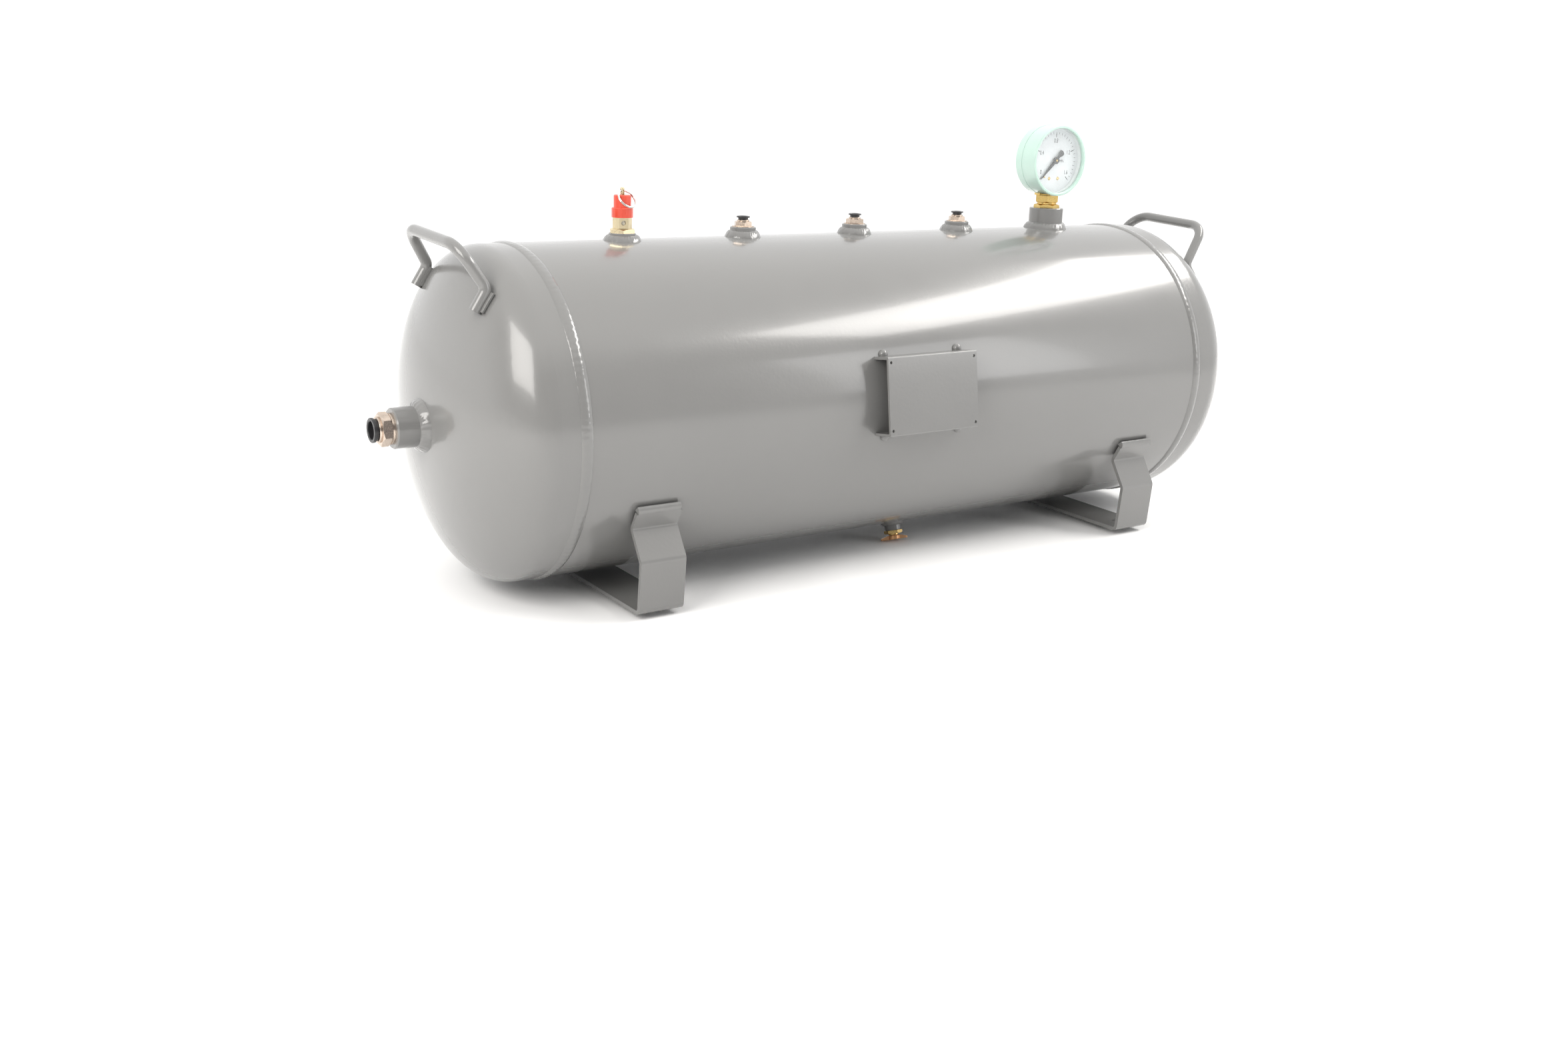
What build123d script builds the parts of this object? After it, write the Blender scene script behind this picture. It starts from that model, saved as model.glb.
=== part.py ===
from build123d import *
from math import sin, cos, tan, radians, degrees, sqrt, pi, hypot, atan2, acos
import os

os.makedirs("parts", exist_ok=True)

# ---------------------------------------------------------------- driving dimensions (mm)
# Row frame: +X along the tank towards the gauge, +Y to the back, +Z up.
# Origin: centre of the four foot holes, on the underside of the feet.
AXIS_Z = 125.5            # tank axis above the foot undersides
R_TANK = 120.0            # outside radius of shell and heads
WALL = 3.0                # plate thickness of shell and heads
SHELL_HALF = 288.3        # half length of the rolled shell, to the girth butt joint
HEAD_STRAIGHT = 17.5      # straight flange of a head
HEAD_DEPTH = 51.0         # outside depth of the dished part
APEX = SHELL_HALF + HEAD_STRAIGHT + HEAD_DEPTH
GIRTH_W, GIRTH_H = 9.4, 1.3

X_VALVE = -200.0
X_OUTLETS = (-96.7, 8.2, 113.4)
X_GAUGE = 213.1
X_DRAIN = 32.3
DRAIN_ROLL = 18.0         # the drain leans this far towards the front, clear of the ground

R_SMALL_BOSS = 10.0       # boss for the valve and the outlets
R_G14 = 6.5               # plain bore that stands for the G1/4 thread
SMALL_BOSS_TOP = 127.2    # heights below are measured from the tank axis
VALVE_BOSS_TOP = 125.1
R_GAUGE_BOSS = 14.5
R_G12 = 9.3               # plain bore that stands for the G1/2 thread
GAUGE_BOSS_TOP = 136.6
R_INLET_BOSS = 14.4
INLET_BOSS_FACE = 377.9   # distance of the boss face from the tank's middle
INLET_DROP = 3.4          # the inlet sits this far below the tank axis
R_DRAIN_BOSS = 6.6
R_G18 = 4.8
DRAIN_BOSS_FACE = 126.6

FOOT_X = 230.0            # foot centre from the origin
FOOT_W = 35.5             # strap width
FOOT_T = 3.0              # strap thickness
FOOT_HOLE_R = 4.5
FOOT_HOLE_Y = 100.0

ROD_R = 4.0               # handle rod
TILT_BRACKET = 8.0        # the nameplate bracket's face leans back by this angle
GAUGE_TURN = 0.0          # the gauge is screwed home square to the tank


def at(x, z=0.0, y=0.0):
    """Plane across the tank's vertical: local X = +X, local Y = +Z, origin on the axis."""
    return Plane(origin=(x, y, AXIS_Z + z), x_dir=(1, 0, 0), z_dir=(0, -1, 0))


def outline(plane, *pts):
    """A closed straight-sided face on a plane."""
    with BuildSketch(plane) as sk:
        with BuildLine():
            Polyline(*pts, close=True)
        make_face()
    return sk.sketch


def spin(plane):
    """The axis a profile on this plane is turned about: its own Y direction."""
    return Axis(plane.origin, plane.y_dir)


# plane of the drain: local Y runs up along the drain's own line through the tank axis
DRAIN = Plane(origin=(X_DRAIN, 0, AXIS_Z), x_dir=(1, 0, 0), z_dir=(0, -cos(radians(DRAIN_ROLL)), sin(radians(DRAIN_ROLL))))


# planes that lie along the tank: local Y runs along -X, for turned parts at the left head
LEFT = Plane(origin=(0, 0, AXIS_Z), x_dir=(0, 0, 1), z_dir=(0, -1, 0))   # local X = +Z, local Y = -X
TANK = Plane(origin=(0, 0, AXIS_Z), x_dir=(0, 0, 1), z_dir=(0, 1, 0))    # local X = +Z, local Y = +X
INLET = Plane(origin=(0, 0, AXIS_Z - INLET_DROP), x_dir=(0, 0, 1), z_dir=(0, -1, 0))


def tank_envelope():
    """Solid cylinder of the tank's outside, used to saddle-cut what is welded on."""
    with BuildPart() as env:
        with BuildSketch(Plane(origin=(-SHELL_HALF, 0, AXIS_Z), x_dir=(0, 1, 0), z_dir=(1, 0, 0))):
            Circle(R_TANK)
        extrude(amount=2 * SHELL_HALF)
    return env.part


def head_envelope(sign, grow=0.0):
    """Solid of one head's outside, straight flange and half ellipsoid."""
    p = LEFT
    x0, x1 = SHELL_HALF, SHELL_HALF + HEAD_STRAIGHT
    with BuildPart() as env:
        with BuildSketch(p):
            with BuildLine():
                Line((0, x0 - 5), (R_TANK + grow, x0 - 5))
                Line((R_TANK + grow, x0 - 5), (R_TANK + grow, x1))
                bulge = EllipticalCenterArc((0, x1), R_TANK + grow, HEAD_DEPTH + grow, start_angle=0, arc_size=89.7)
                Line(bulge @ 1, (0, (bulge @ 1).Y))
                Line((0, (bulge @ 1).Y), (0, x0 - 5))
            make_face()
        revolve(axis=spin(p))
    return env.part if sign < 0 else env.part.rotate(Axis.Z, 180)


TANK_SOLID = tank_envelope()
HEAD_SOLID = {s: head_envelope(s) for s in (-1, 1)}

# ================================================================ pressure vessel
with BuildPart() as shell:
    with BuildSketch(Plane(origin=(-SHELL_HALF, 0, AXIS_Z), x_dir=(0, 1, 0), z_dir=(1, 0, 0))):
        Circle(R_TANK)
        Circle(R_TANK - WALL, mode=Mode.SUBTRACT)
    extrude(amount=2 * SHELL_HALF)
    for x, r in [(X_VALVE, R_G14)] + [(x, R_G14) for x in X_OUTLETS] + [(X_GAUGE, R_G12)]:
        with BuildSketch(Plane.XY.offset(AXIS_Z + 100)):
            with Locations((x, 0)):
                Circle(r)
        extrude(amount=30, mode=Mode.SUBTRACT)
    with BuildSketch(Plane(origin=DRAIN.origin + DRAIN.y_dir * -130, x_dir=(1, 0, 0), z_dir=DRAIN.y_dir)):
        Circle(R_G18)
    extrude(amount=30, mode=Mode.SUBTRACT)
shell.part.label = "shell"
export_step(shell.part, "parts/shell.step")


def head_blank(r, depth, x_low):
    """Solid of revolution under one ellipse: straight flange and dished end, at the left."""
    x1 = SHELL_HALF + HEAD_STRAIGHT
    with BuildPart() as blank:
        with BuildSketch(LEFT):
            with BuildLine():
                Line((0, x_low), (r, x_low))
                Line((r, x_low), (r, x1))
                bulge = EllipticalCenterArc((0, x1), r, depth, start_angle=0, arc_size=89.7)
                Line(bulge @ 1, (0, (bulge @ 1).Y))
                Line((0, (bulge @ 1).Y), (0, x_low))
            make_face()
        revolve(axis=spin(LEFT))
    return blank.part


def make_head(sign):
    with BuildPart() as head:
        add(head_blank(R_TANK, HEAD_DEPTH, SHELL_HALF))
        add(head_blank(R_TANK - WALL, HEAD_DEPTH - WALL, SHELL_HALF), mode=Mode.SUBTRACT)
        if sign < 0:
            with BuildSketch(Plane(origin=(-APEX - 5, 0, AXIS_Z - INLET_DROP), x_dir=(0, 1, 0), z_dir=(1, 0, 0))):
                Circle(R_G12)
            extrude(amount=20, mode=Mode.SUBTRACT)
    return head.part if sign < 0 else head.part.rotate(Axis.Z, 180)


with BuildPart() as left_head:
    add(make_head(-1))
left_head.part.label = "left_head"
export_step(left_head.part, "parts/left_head.step")

with BuildPart() as right_head:
    add(make_head(1))
right_head.part.label = "right_head"
export_step(right_head.part, "parts/right_head.step")

# the two girth welds: crowned beads over the butt joints
with BuildPart() as girth_welds:
    for s in (-1, 1):
        xc = s * SHELL_HALF
        with BuildSketch(TANK):
            with BuildLine():
                Line((R_TANK, xc - GIRTH_W / 2), (R_TANK, xc + GIRTH_W / 2))
                ThreePointArc((R_TANK, xc + GIRTH_W / 2), (R_TANK + GIRTH_H, xc), (R_TANK, xc - GIRTH_W / 2))
            make_face()
        revolve(axis=spin(TANK))
girth_welds.part.label = "girth_welds"
export_step(girth_welds.part, "parts/girth_welds.step")


# ---------------------------------------------------------------- bosses, set on the shell
def upright_boss(x, r_out, r_in, top):
    p = at(x)
    with BuildPart() as b:
        revolve(outline(p, (r_in, 110), (r_out, 110), (r_out, top - 0.6), (r_out - 0.6, top), (r_in + 0.5, top), (r_in, top - 0.5)), axis=spin(p))
        add(TANK_SOLID, mode=Mode.SUBTRACT)
    return b.part


with BuildPart() as valve_boss:
    add(upright_boss(X_VALVE, R_SMALL_BOSS, R_G14, VALVE_BOSS_TOP))
valve_boss.part.label = "valve_boss"
export_step(valve_boss.part, "parts/valve_boss.step")

with BuildPart() as outlet_bosses:
    for x in X_OUTLETS:
        add(upright_boss(x, R_SMALL_BOSS, R_G14, SMALL_BOSS_TOP))
outlet_bosses.part.label = "outlet_bosses"
export_step(outlet_bosses.part, "parts/outlet_bosses.step")

with BuildPart() as gauge_boss:
    add(upright_boss(X_GAUGE, R_GAUGE_BOSS, R_G12, GAUGE_BOSS_TOP))
gauge_boss.part.label = "gauge_boss"
export_step(gauge_boss.part, "parts/gauge_boss.step")

with BuildPart() as inlet_boss:
    f = INLET_BOSS_FACE
    revolve(outline(INLET, (R_G12, APEX - 6), (R_INLET_BOSS, APEX - 6), (R_INLET_BOSS, f - 0.8), (R_INLET_BOSS - 0.8, f),
                    (R_G12 + 0.6, f), (R_G12, f - 0.6)), axis=spin(INLET))
    add(HEAD_SOLID[-1], mode=Mode.SUBTRACT)
inlet_boss.part.label = "inlet_boss"
export_step(inlet_boss.part, "parts/inlet_boss.step")

with BuildPart() as drain_boss:
    f = DRAIN_BOSS_FACE
    revolve(outline(DRAIN, (R_G18, -112), (R_DRAIN_BOSS, -112), (R_DRAIN_BOSS, -f + 0.4), (R_DRAIN_BOSS - 0.4, -f), (R_G18, -f)), axis=spin(DRAIN))
    add(TANK_SOLID, mode=Mode.SUBTRACT)
drain_boss.part.label = "drain_boss"
export_step(drain_boss.part, "parts/drain_boss.step")


def boss_bead(p, r_boss, leg, s=1):
    """Fillet weld round a boss: a turned triangle with a hollow face, saddle-cut by the tank."""
    z_base = 120.0
    with BuildPart() as b:
        with BuildSketch(p):
            with BuildLine():
                Line((r_boss, s * 115), (r_boss + leg, s * 115))
                Line((r_boss + leg, s * 115), (r_boss + leg, s * (z_base - 0.3)))
                ThreePointArc((r_boss + leg, s * (z_base - 0.3)), (r_boss + leg * 0.42, s * (z_base + leg * 0.30)), (r_boss, s * (z_base + leg * 0.62)))
                Line((r_boss, s * (z_base + leg * 0.62)), (r_boss, s * 115))
            make_face()
        revolve(axis=spin(p))
        add(TANK_SOLID, mode=Mode.SUBTRACT)
    return b.part


with BuildPart() as boss_welds:
    add(boss_bead(at(X_VALVE), R_SMALL_BOSS, 4.4))
    for x in X_OUTLETS:
        add(boss_bead(at(x), R_SMALL_BOSS, 3.9))
    add(boss_bead(at(X_GAUGE), R_GAUGE_BOSS, 4.2))
    add(boss_bead(DRAIN, R_DRAIN_BOSS, 3.0, -1))
boss_welds.part.label = "boss_welds"
export_step(boss_welds.part, "parts/boss_welds.step")

with BuildPart() as inlet_weld:
    with BuildSketch(INLET):
        with BuildLine():
            Line((R_INLET_BOSS, APEX - 4), (R_INLET_BOSS + 5, APEX - 4))
            Line((R_INLET_BOSS + 5, APEX - 4), (R_INLET_BOSS + 5, APEX - 0.4))
            ThreePointArc((R_INLET_BOSS + 5, APEX - 0.4), (R_INLET_BOSS + 3.2, APEX + 3.2), (R_INLET_BOSS, APEX + 5.2))
            Line((R_INLET_BOSS, APEX + 5.2), (R_INLET_BOSS, APEX - 4))
        make_face()
    revolve(axis=spin(INLET))
    add(HEAD_SOLID[-1], mode=Mode.SUBTRACT)
inlet_weld.part.label = "inlet_weld"
export_step(inlet_weld.part, "parts/inlet_weld.step")


# ================================================================ feet: bent straps
# half section from the middle of the underside out to the top of the tank flange, outer side
FOOT_OUT = [(0.0, 0.0), (116.7, 0.0), (120.1, 39.0), (106.6, 59.8), (113.2, 71.6)]


def offset_in(pts, t):
    """The inner side of the strap: each straight moved in by the thickness."""
    lines = []
    for (x0, y0), (x1, y1) in zip(pts, pts[1:]):
        d = hypot(x1 - x0, y1 - y0)
        nx, ny = -(y1 - y0) / d, (x1 - x0) / d
        lines.append(((x0 + nx * t, y0 + ny * t), ((x1 - x0) / d, (y1 - y0) / d)))
    out = [lines[0][0]]
    for (p, d), (q, e) in zip(lines, lines[1:]):
        k = ((q[0] - p[0]) * e[1] - (q[1] - p[1]) * e[0]) / (d[0] * e[1] - d[1] * e[0])
        out.append((p[0] + d[0] * k, p[1] + d[1] * k))
    (p, d), (x0, y0), (x1, y1) = lines[-1], pts[-2], pts[-1]
    L = hypot(x1 - x0, y1 - y0)
    out.append((p[0] + d[0] * L, p[1] + d[1] * L))
    return out


FOOT_IN = offset_in(FOOT_OUT, FOOT_T)


def strap(x_mid):
    plane = Plane(origin=(x_mid - FOOT_W / 2, 0, 0), x_dir=(0, 1, 0), z_dir=(1, 0, 0))
    with BuildPart() as f:
        with BuildSketch(plane):
            with BuildLine():
                left = [(-y, z) for y, z in FOOT_OUT[1:]]
                left_in = [(-y, z) for y, z in FOOT_IN[1:]]
                ring = FOOT_OUT[1:] + FOOT_IN[:0:-1] + left_in + left[::-1]
                Polyline(*ring, close=True)
            make_face()
        extrude(amount=FOOT_W)

        def corner_edges(table):
            return [e for e in f.edges().filter_by(Axis.X)
                    if any(abs(abs(e.center().Y) - a) < 0.01 and abs(e.center().Z - b) < 0.01 for a, b in table)]
        # at the first two bends the strap's convex side is its outside, at the third it is reversed
        fillet(corner_edges(FOOT_OUT[1:3]), 5.0)
        fillet(corner_edges(FOOT_IN[1:3]), 2.0)
        fillet(corner_edges(FOOT_OUT[3:4]), 2.0)
        fillet(corner_edges(FOOT_IN[3:4]), 5.0)
        # rolled seam on the tank side of the top flange
        add(TANK_SOLID, mode=Mode.SUBTRACT)
        with BuildSketch(Plane.XY.offset(-1)):
            with Locations((x_mid, FOOT_HOLE_Y), (x_mid, -FOOT_HOLE_Y)):
                Circle(FOOT_HOLE_R)
        extrude(amount=FOOT_T + 2, mode=Mode.SUBTRACT)
    return f.part


with BuildPart() as foot_left:
    add(strap(-FOOT_X))
foot_left.part.label = "foot_left"
export_step(foot_left.part, "parts/foot_left.step")

with BuildPart() as foot_right:
    add(strap(FOOT_X))
foot_right.part.label = "foot_right"
export_step(foot_right.part, "parts/foot_right.step")

# weld bead along the top edge of each strap flange, cut by the tank and the strap
with BuildPart() as foot_welds:
    for s in (-1, 1):
        for side in (-1, 1):
            y1, z1 = FOOT_OUT[4]
            y2, z2 = FOOT_IN[4]
            tx, tz = (FOOT_OUT[4][0] - FOOT_OUT[3][0]), (FOOT_OUT[4][1] - FOOT_OUT[3][1])
            tl = hypot(tx, tz)
            tx, tz = tx / tl, tz / tl
            nx, nz = -tz, tx
            pln = Plane(origin=(s * FOOT_X - FOOT_W / 2 + 1.0, 0, 0), x_dir=(0, 1, 0), z_dir=(1, 0, 0))
            with BuildSketch(pln):
                with BuildLine():
                    a = (side * y1, z1)
                    b = (side * (y1 + tx * 4.6 + nx * 3.4), z1 + tz * 4.6 + nz * 3.4)
                    c = (side * (y2 + nx * 2.5), z2 + nz * 2.5)
                    m = (side * (y1 + tx * 3.1 + nx * 0.7), z1 + tz * 3.1 + nz * 0.7)
                    ThreePointArc(a, m, b)
                    Line(b, c)
                    Line(c, a)
                make_face()
            extrude(amount=FOOT_W - 2.0)
    add(TANK_SOLID, mode=Mode.SUBTRACT)
foot_welds.part.label = "foot_welds"
export_step(foot_welds.part, "parts/foot_welds.step")


# ================================================================ handles: bent round bar
# points of one handle: tab end, bend on the head, top corner (distance from middle, half spread, height over axis)
def rod_path(sign, pts, roll_deg):
    c, s = cos(radians(roll_deg)), sin(radians(roll_deg))
    return [(sign * x, y * c - z * s, AXIS_Z + z * c + y * s) for x, y, z in pts]


def handle(sign, half, roll_deg, radii):
    pts = [(x, -y, z) for x, y, z in half] + [(x, y, z) for x, y, z in reversed(half)]
    path_pts = rod_path(sign, pts, roll_deg)
    with BuildPart() as h:
        with BuildLine() as route:
            FilletPolyline(*path_pts, radius=radii)
        start = route.wire() @ 0
        with BuildSketch(Plane(origin=start, z_dir=route.wire() % 0)):
            Circle(ROD_R)
        sweep(path=route.wire())
        add(HEAD_SOLID[sign], mode=Mode.SUBTRACT)
    return h.part, path_pts


HANDLE_L = [(338.6, 52.4, 84.8), (329.8, 52.2, 99.2), (346.8, 44.2, 126.9)]
HANDLE_R = [(339.2, 54.6, 81.2), (335.0, 50.0, 90.6), (362.4, 40.0, 122.9)]
with BuildPart() as handle_left:
    hl, path_l = handle(-1, HANDLE_L, 2.4, [7.0, 19.0, 19.0, 7.0])
    add(hl)
handle_left.part.label = "handle_left"
export_step(handle_left.part, "parts/handle_left.step")

with BuildPart() as handle_right:
    hr, path_r = handle(1, HANDLE_R, 2.6, [7.0, 18.0, 18.0, 7.0])
    add(hr)
handle_right.part.label = "handle_right"
export_step(handle_right.part, "parts/handle_right.step")

# weld deposit each side of the rod where it lies on the head, no deeper than this skin
with BuildPart() as weld_skin:
    add(head_envelope(-1, 3.0))
    add(head_envelope(1, 3.0))
with BuildPart() as handle_welds:
    for sign, path_pts, rod in ((-1, path_l, hl), (1, path_r, hr)):
        for a, b in ((path_pts[0], path_pts[1]), (path_pts[5], path_pts[4])):
            va, vb = Vector(*a), Vector(*b)
            d = (vb - va).normalized()
            p0 = va + d * 1.5
            with BuildSketch(Plane(origin=p0, z_dir=d)):
                Circle(ROD_R + 2.4)
            extrude(amount=(vb - va).length - 2.0)
    add(HEAD_SOLID[-1], mode=Mode.SUBTRACT)
    add(HEAD_SOLID[1], mode=Mode.SUBTRACT)
    add(hl, mode=Mode.SUBTRACT)
    add(hr, mode=Mode.SUBTRACT)
    add(weld_skin.part, mode=Mode.INTERSECT)
handle_welds.part.label = "handle_welds"
export_step(handle_welds.part, "parts/handle_welds.step")

# ================================================================ nameplate bracket
BX0, BX1 = -51.4, 32.1
B_HALF, B_OUT, B_T = 29.2, 134.4, 2.0
B_SHIFT = -3.3
ct, st = cos(radians(TILT_BRACKET)), sin(radians(TILT_BRACKET))
# local X = out from the tank, local Y = up the plate
BRK = Plane(origin=(BX0, 0, AXIS_Z), x_dir=(0, -ct, st), z_dir=(1, 0, 0))
bsg = 1 if BRK.y_dir.Z > 0 else -1
with BuildPart() as nameplate_bracket:
    with BuildSketch(BRK):
        with BuildLine():
            lo, hi = bsg * (B_SHIFT - B_HALF), bsg * (B_SHIFT + B_HALF)
            lo_i, hi_i = bsg * (B_SHIFT - B_HALF + B_T), bsg * (B_SHIFT + B_HALF - B_T)
            Polyline((100, lo), (B_OUT, lo), (B_OUT, hi), (100, hi), (100, hi_i), (B_OUT - B_T, hi_i), (B_OUT - B_T, lo_i), (100, lo_i), close=True)
        make_face()
    extrude(amount=BX1 - BX0)
    plate_corner = [e for e in nameplate_bracket.edges().filter_by(Axis.X)
                    if abs(e.center().Y * -ct + (e.center().Z - AXIS_Z) * st - B_OUT) < 0.05]
    fillet(plate_corner, 1.2)
    inner_corner = [e for e in nameplate_bracket.edges().filter_by(Axis.X)
                    if abs(e.center().Y * -ct + (e.center().Z - AXIS_Z) * st - (B_OUT - B_T)) < 0.05]
    fillet(inner_corner, 0.5)
    add(TANK_SOLID, mode=Mode.SUBTRACT)
    # four rivet holes for a nameplate
    face = Plane(origin=(0, -ct * (B_OUT - B_T - 1), AXIS_Z + st * (B_OUT - B_T - 1)), x_dir=(1, 0, 0), z_dir=(0, -ct, st))
    with BuildSketch(face):
        with Locations(*[(x, B_SHIFT + v) for x in (-48.7, 29.4) for v in (-25.0, 25.0)]):
            Circle(1.1)
    extrude(amount=B_T + 2, mode=Mode.SUBTRACT)
nameplate_bracket.part.label = "nameplate_bracket"
export_step(nameplate_bracket.part, "parts/nameplate_bracket.step")

# tack welds where the flanges meet the tank
with BuildPart() as bracket_welds:
    for x in (-43.0, 27.0):
        for v in (B_SHIFT - B_HALF - 1.2, B_SHIFT + B_HALF + 1.2):
            # the point on the tank where the flange lands, in the bracket's tilted frame
            rr = sqrt(R_TANK ** 2 - v ** 2)
            with Locations((x, -ct * rr - st * -v, AXIS_Z + st * rr + ct * v)):
                Sphere(3.6)
    add(TANK_SOLID, mode=Mode.SUBTRACT)
    add(nameplate_bracket.part, mode=Mode.SUBTRACT)
    with BuildSketch(BRK.offset(-20)):
        with Locations((B_OUT - 24, bsg * B_SHIFT)):
            Rectangle(46, 2 * B_HALF - 1)
    extrude(amount=BX1 - BX0 + 40, mode=Mode.SUBTRACT)
bracket_welds.part.label = "bracket_welds"
export_step(bracket_welds.part, "parts/bracket_welds.step")


# ================================================================ push-in fittings
def nut(plane, flats, z0, z1, corner_deg, cham0=0.0, cham1=0.0):
    """Hexagon prism between two heights on a plane's Y direction, its corners turned back."""
    base = Plane(origin=plane.origin + plane.y_dir * z0, x_dir=plane.x_dir, z_dir=plane.y_dir)
    rc = flats / 2 / cos(radians(30))
    with BuildPart() as h:
        with BuildSketch(base):
            RegularPolygon(flats / 2, 6, major_radius=False, rotation=corner_deg)
        extrude(amount=z1 - z0)
        if cham0 or cham1:
            k = tan(radians(60))
            rim = rc - flats / 2
            o0, o1 = rim * 1.15 * cham0, rim * 1.15 * cham1
            prof = [(0, z0), (rc + 0.1 - o0, z0), (rc + 0.1, z0 + o0 / k + 0.001), (rc + 0.1, z1 - o1 / k - 0.001), (rc + 0.1 - o1, z1), (0, z1)]
            revolve(outline(plane, *prof), axis=spin(plane), mode=Mode.INTERSECT)
    return h.part


T6 = 3.05      # bore for a 6 mm tube
T12 = 6.05     # bore for a 12 mm tube


def small_fitting(x, turn):
    p = at(x)
    with BuildPart() as b:
        add(nut(p, 12.0, 127.6, 131.2, turn, 0, 1))
        revolve(outline(p, (0, 118.5), (6.15, 118.5), (6.45, 118.9), (6.45, 127.2), (8.4, 127.2), (8.4, 127.7), (5.0, 127.7), (5.0, 131.2), (4.7, 131.2), (4.7, 132.2), (4.4, 132.5), (0, 132.5)), axis=spin(p))
        revolve(outline(p, (0, 118.4), (2.0, 118.4), (2.0, 119.6), (T6, 119.6), (T6, 123.6), (4.6, 123.6), (4.6, 126.1), (3.3, 126.1),
                        (3.3, 126.6), (5.0, 126.6), (5.0, 130.5), (3.95, 130.5), (3.95, 132.6), (0, 132.6)), axis=spin(p), mode=Mode.SUBTRACT)
    return b.part


with BuildPart() as outlet_fitting_bodies:
    for x, turn in zip(X_OUTLETS, (8.0, 21.0, 3.0)):
        add(small_fitting(x, turn))
outlet_fitting_bodies.part.label = "outlet_fitting_bodies"
export_step(outlet_fitting_bodies.part, "parts/outlet_fitting_bodies.step")


def grab_ring(plane, r_in, r_out, z0, rise, t, teeth):
    with BuildPart() as g:
        revolve(outline(plane, (r_in, z0 + rise), (r_out - 0.6, z0), (r_out, z0), (r_out, z0 + t), (r_out - 0.6, z0 + t), (r_in, z0 + rise + t)), axis=spin(plane))
        base = Plane(origin=plane.origin + plane.y_dir * (z0 - 1), x_dir=plane.x_dir, z_dir=plane.y_dir)
        with BuildSketch(base):
            with PolarLocations(r_in, teeth):
                Rectangle((r_out - r_in) * 1.2, 0.35)
        extrude(amount=rise + t + 2, mode=Mode.SUBTRACT)
    return g.part


def o_ring(plane, r_mid, r_wire, z):
    with BuildPart() as o:
        with BuildSketch(plane):
            with Locations((r_mid, z)):
                Circle(r_wire)
        revolve(axis=spin(plane))
    return o.part


with BuildPart() as tube_grab_rings:
    for x in X_OUTLETS:
        add(grab_ring(at(x), 3.15, 4.8, 126.63, 0.55, 0.3, 8))
tube_grab_rings.part.label = "tube_grab_rings"
export_step(tube_grab_rings.part, "parts/tube_grab_rings.step")

with BuildPart() as tube_seals:
    for x in X_OUTLETS:
        add(o_ring(at(x), 3.83, 0.74, 124.85))
tube_seals.part.label = "tube_seals"
export_step(tube_seals.part, "parts/tube_seals.step")


def collar(plane, z_end, z_bead, z_body, z_flange, z_top, r_in, r_sleeve, r_bead, r_flange):
    """Release sleeve: split tongue end with a bead inside the body, push flange outside."""
    with BuildPart() as c:
        revolve(outline(plane, (r_in, z_end), (r_sleeve - 0.35, z_end), (r_sleeve, z_end + 0.5), (r_sleeve, z_bead), (r_bead, z_bead + 0.35), (r_bead, z_body), (r_sleeve, z_body),
                        (r_sleeve, z_flange), (r_flange - 0.25, z_flange), (r_flange, z_flange + 0.25), (r_flange, z_top - 0.3), (r_flange - 0.3, z_top),
                        (r_in + 0.5, z_top), (r_in, z_top - 0.5)), axis=spin(plane))
        base = Plane(origin=plane.origin + plane.y_dir * (z_end - 1), x_dir=plane.x_dir, z_dir=plane.y_dir)
        with BuildSketch(base):
            Rectangle(2 * r_bead + 2, 0.7)
            Rectangle(0.7, 2 * r_bead + 2)
        extrude(amount=z_body - z_end + 0.6, mode=Mode.SUBTRACT)
    return c.part


COLLARS = []
for n, x in enumerate(X_OUTLETS, 1):
    with BuildPart() as release_collar:
        add(collar(at(x), 128.65, 129.6, 130.45, 134.0, 135.1, 3.2, 3.75, 4.5, 5.1))
    release_collar.part.label = f"release_collar_{n}"
    export_step(release_collar.part, f"parts/release_collar_{n}.step")

# the larger fitting at the inlet, its axis along -X
with BuildPart() as inlet_fitting_body:
    f = INLET_BOSS_FACE
    add(nut(INLET, 21.0, 380.0, 386.9, 10.0, 1, 1))
    revolve(outline(INLET, (0, 356.5), (8.8, 356.5), (9.25, 357.0), (9.25, f), (11.0, f), (11.0, 380.1), (9.0, 380.1), (9.0, 388.3), (8.7, 388.6), (0, 388.6)), axis=spin(INLET))
    revolve(outline(INLET, (0, 356.4), (4.5, 356.4), (4.5, 363.0), (T12, 363.0), (T12, 371.0), (8.0, 371.0), (8.0, 374.0), (6.4, 374.0),
                    (6.4, 374.8), (8.3, 374.8), (8.3, 386.4), (7.6, 386.4), (7.6, 388.7), (0, 388.7)), axis=spin(INLET), mode=Mode.SUBTRACT)
inlet_fitting_body.part.label = "inlet_fitting_body"
export_step(inlet_fitting_body.part, "parts/inlet_fitting_body.step")

with BuildPart() as inlet_grab_ring:
    add(grab_ring(INLET, 6.2, 8.1, 374.83, 0.7, 0.4, 12))
inlet_grab_ring.part.label = "inlet_grab_ring"
export_step(inlet_grab_ring.part, "parts/inlet_grab_ring.step")

with BuildPart() as inlet_tube_seal:
    add(o_ring(INLET, 7.02, 0.93, 372.5))
inlet_tube_seal.part.label = "inlet_tube_seal"
export_step(inlet_tube_seal.part, "parts/inlet_tube_seal.step")

with BuildPart() as inlet_release_collar:
    add(collar(INLET, 377.7, 384.6, 386.35, 390.3, 392.4, 6.3, 7.3, 8.0, 8.7))
inlet_release_collar.part.label = "inlet_release_collar"
export_step(inlet_release_collar.part, "parts/inlet_release_collar.step")

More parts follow.
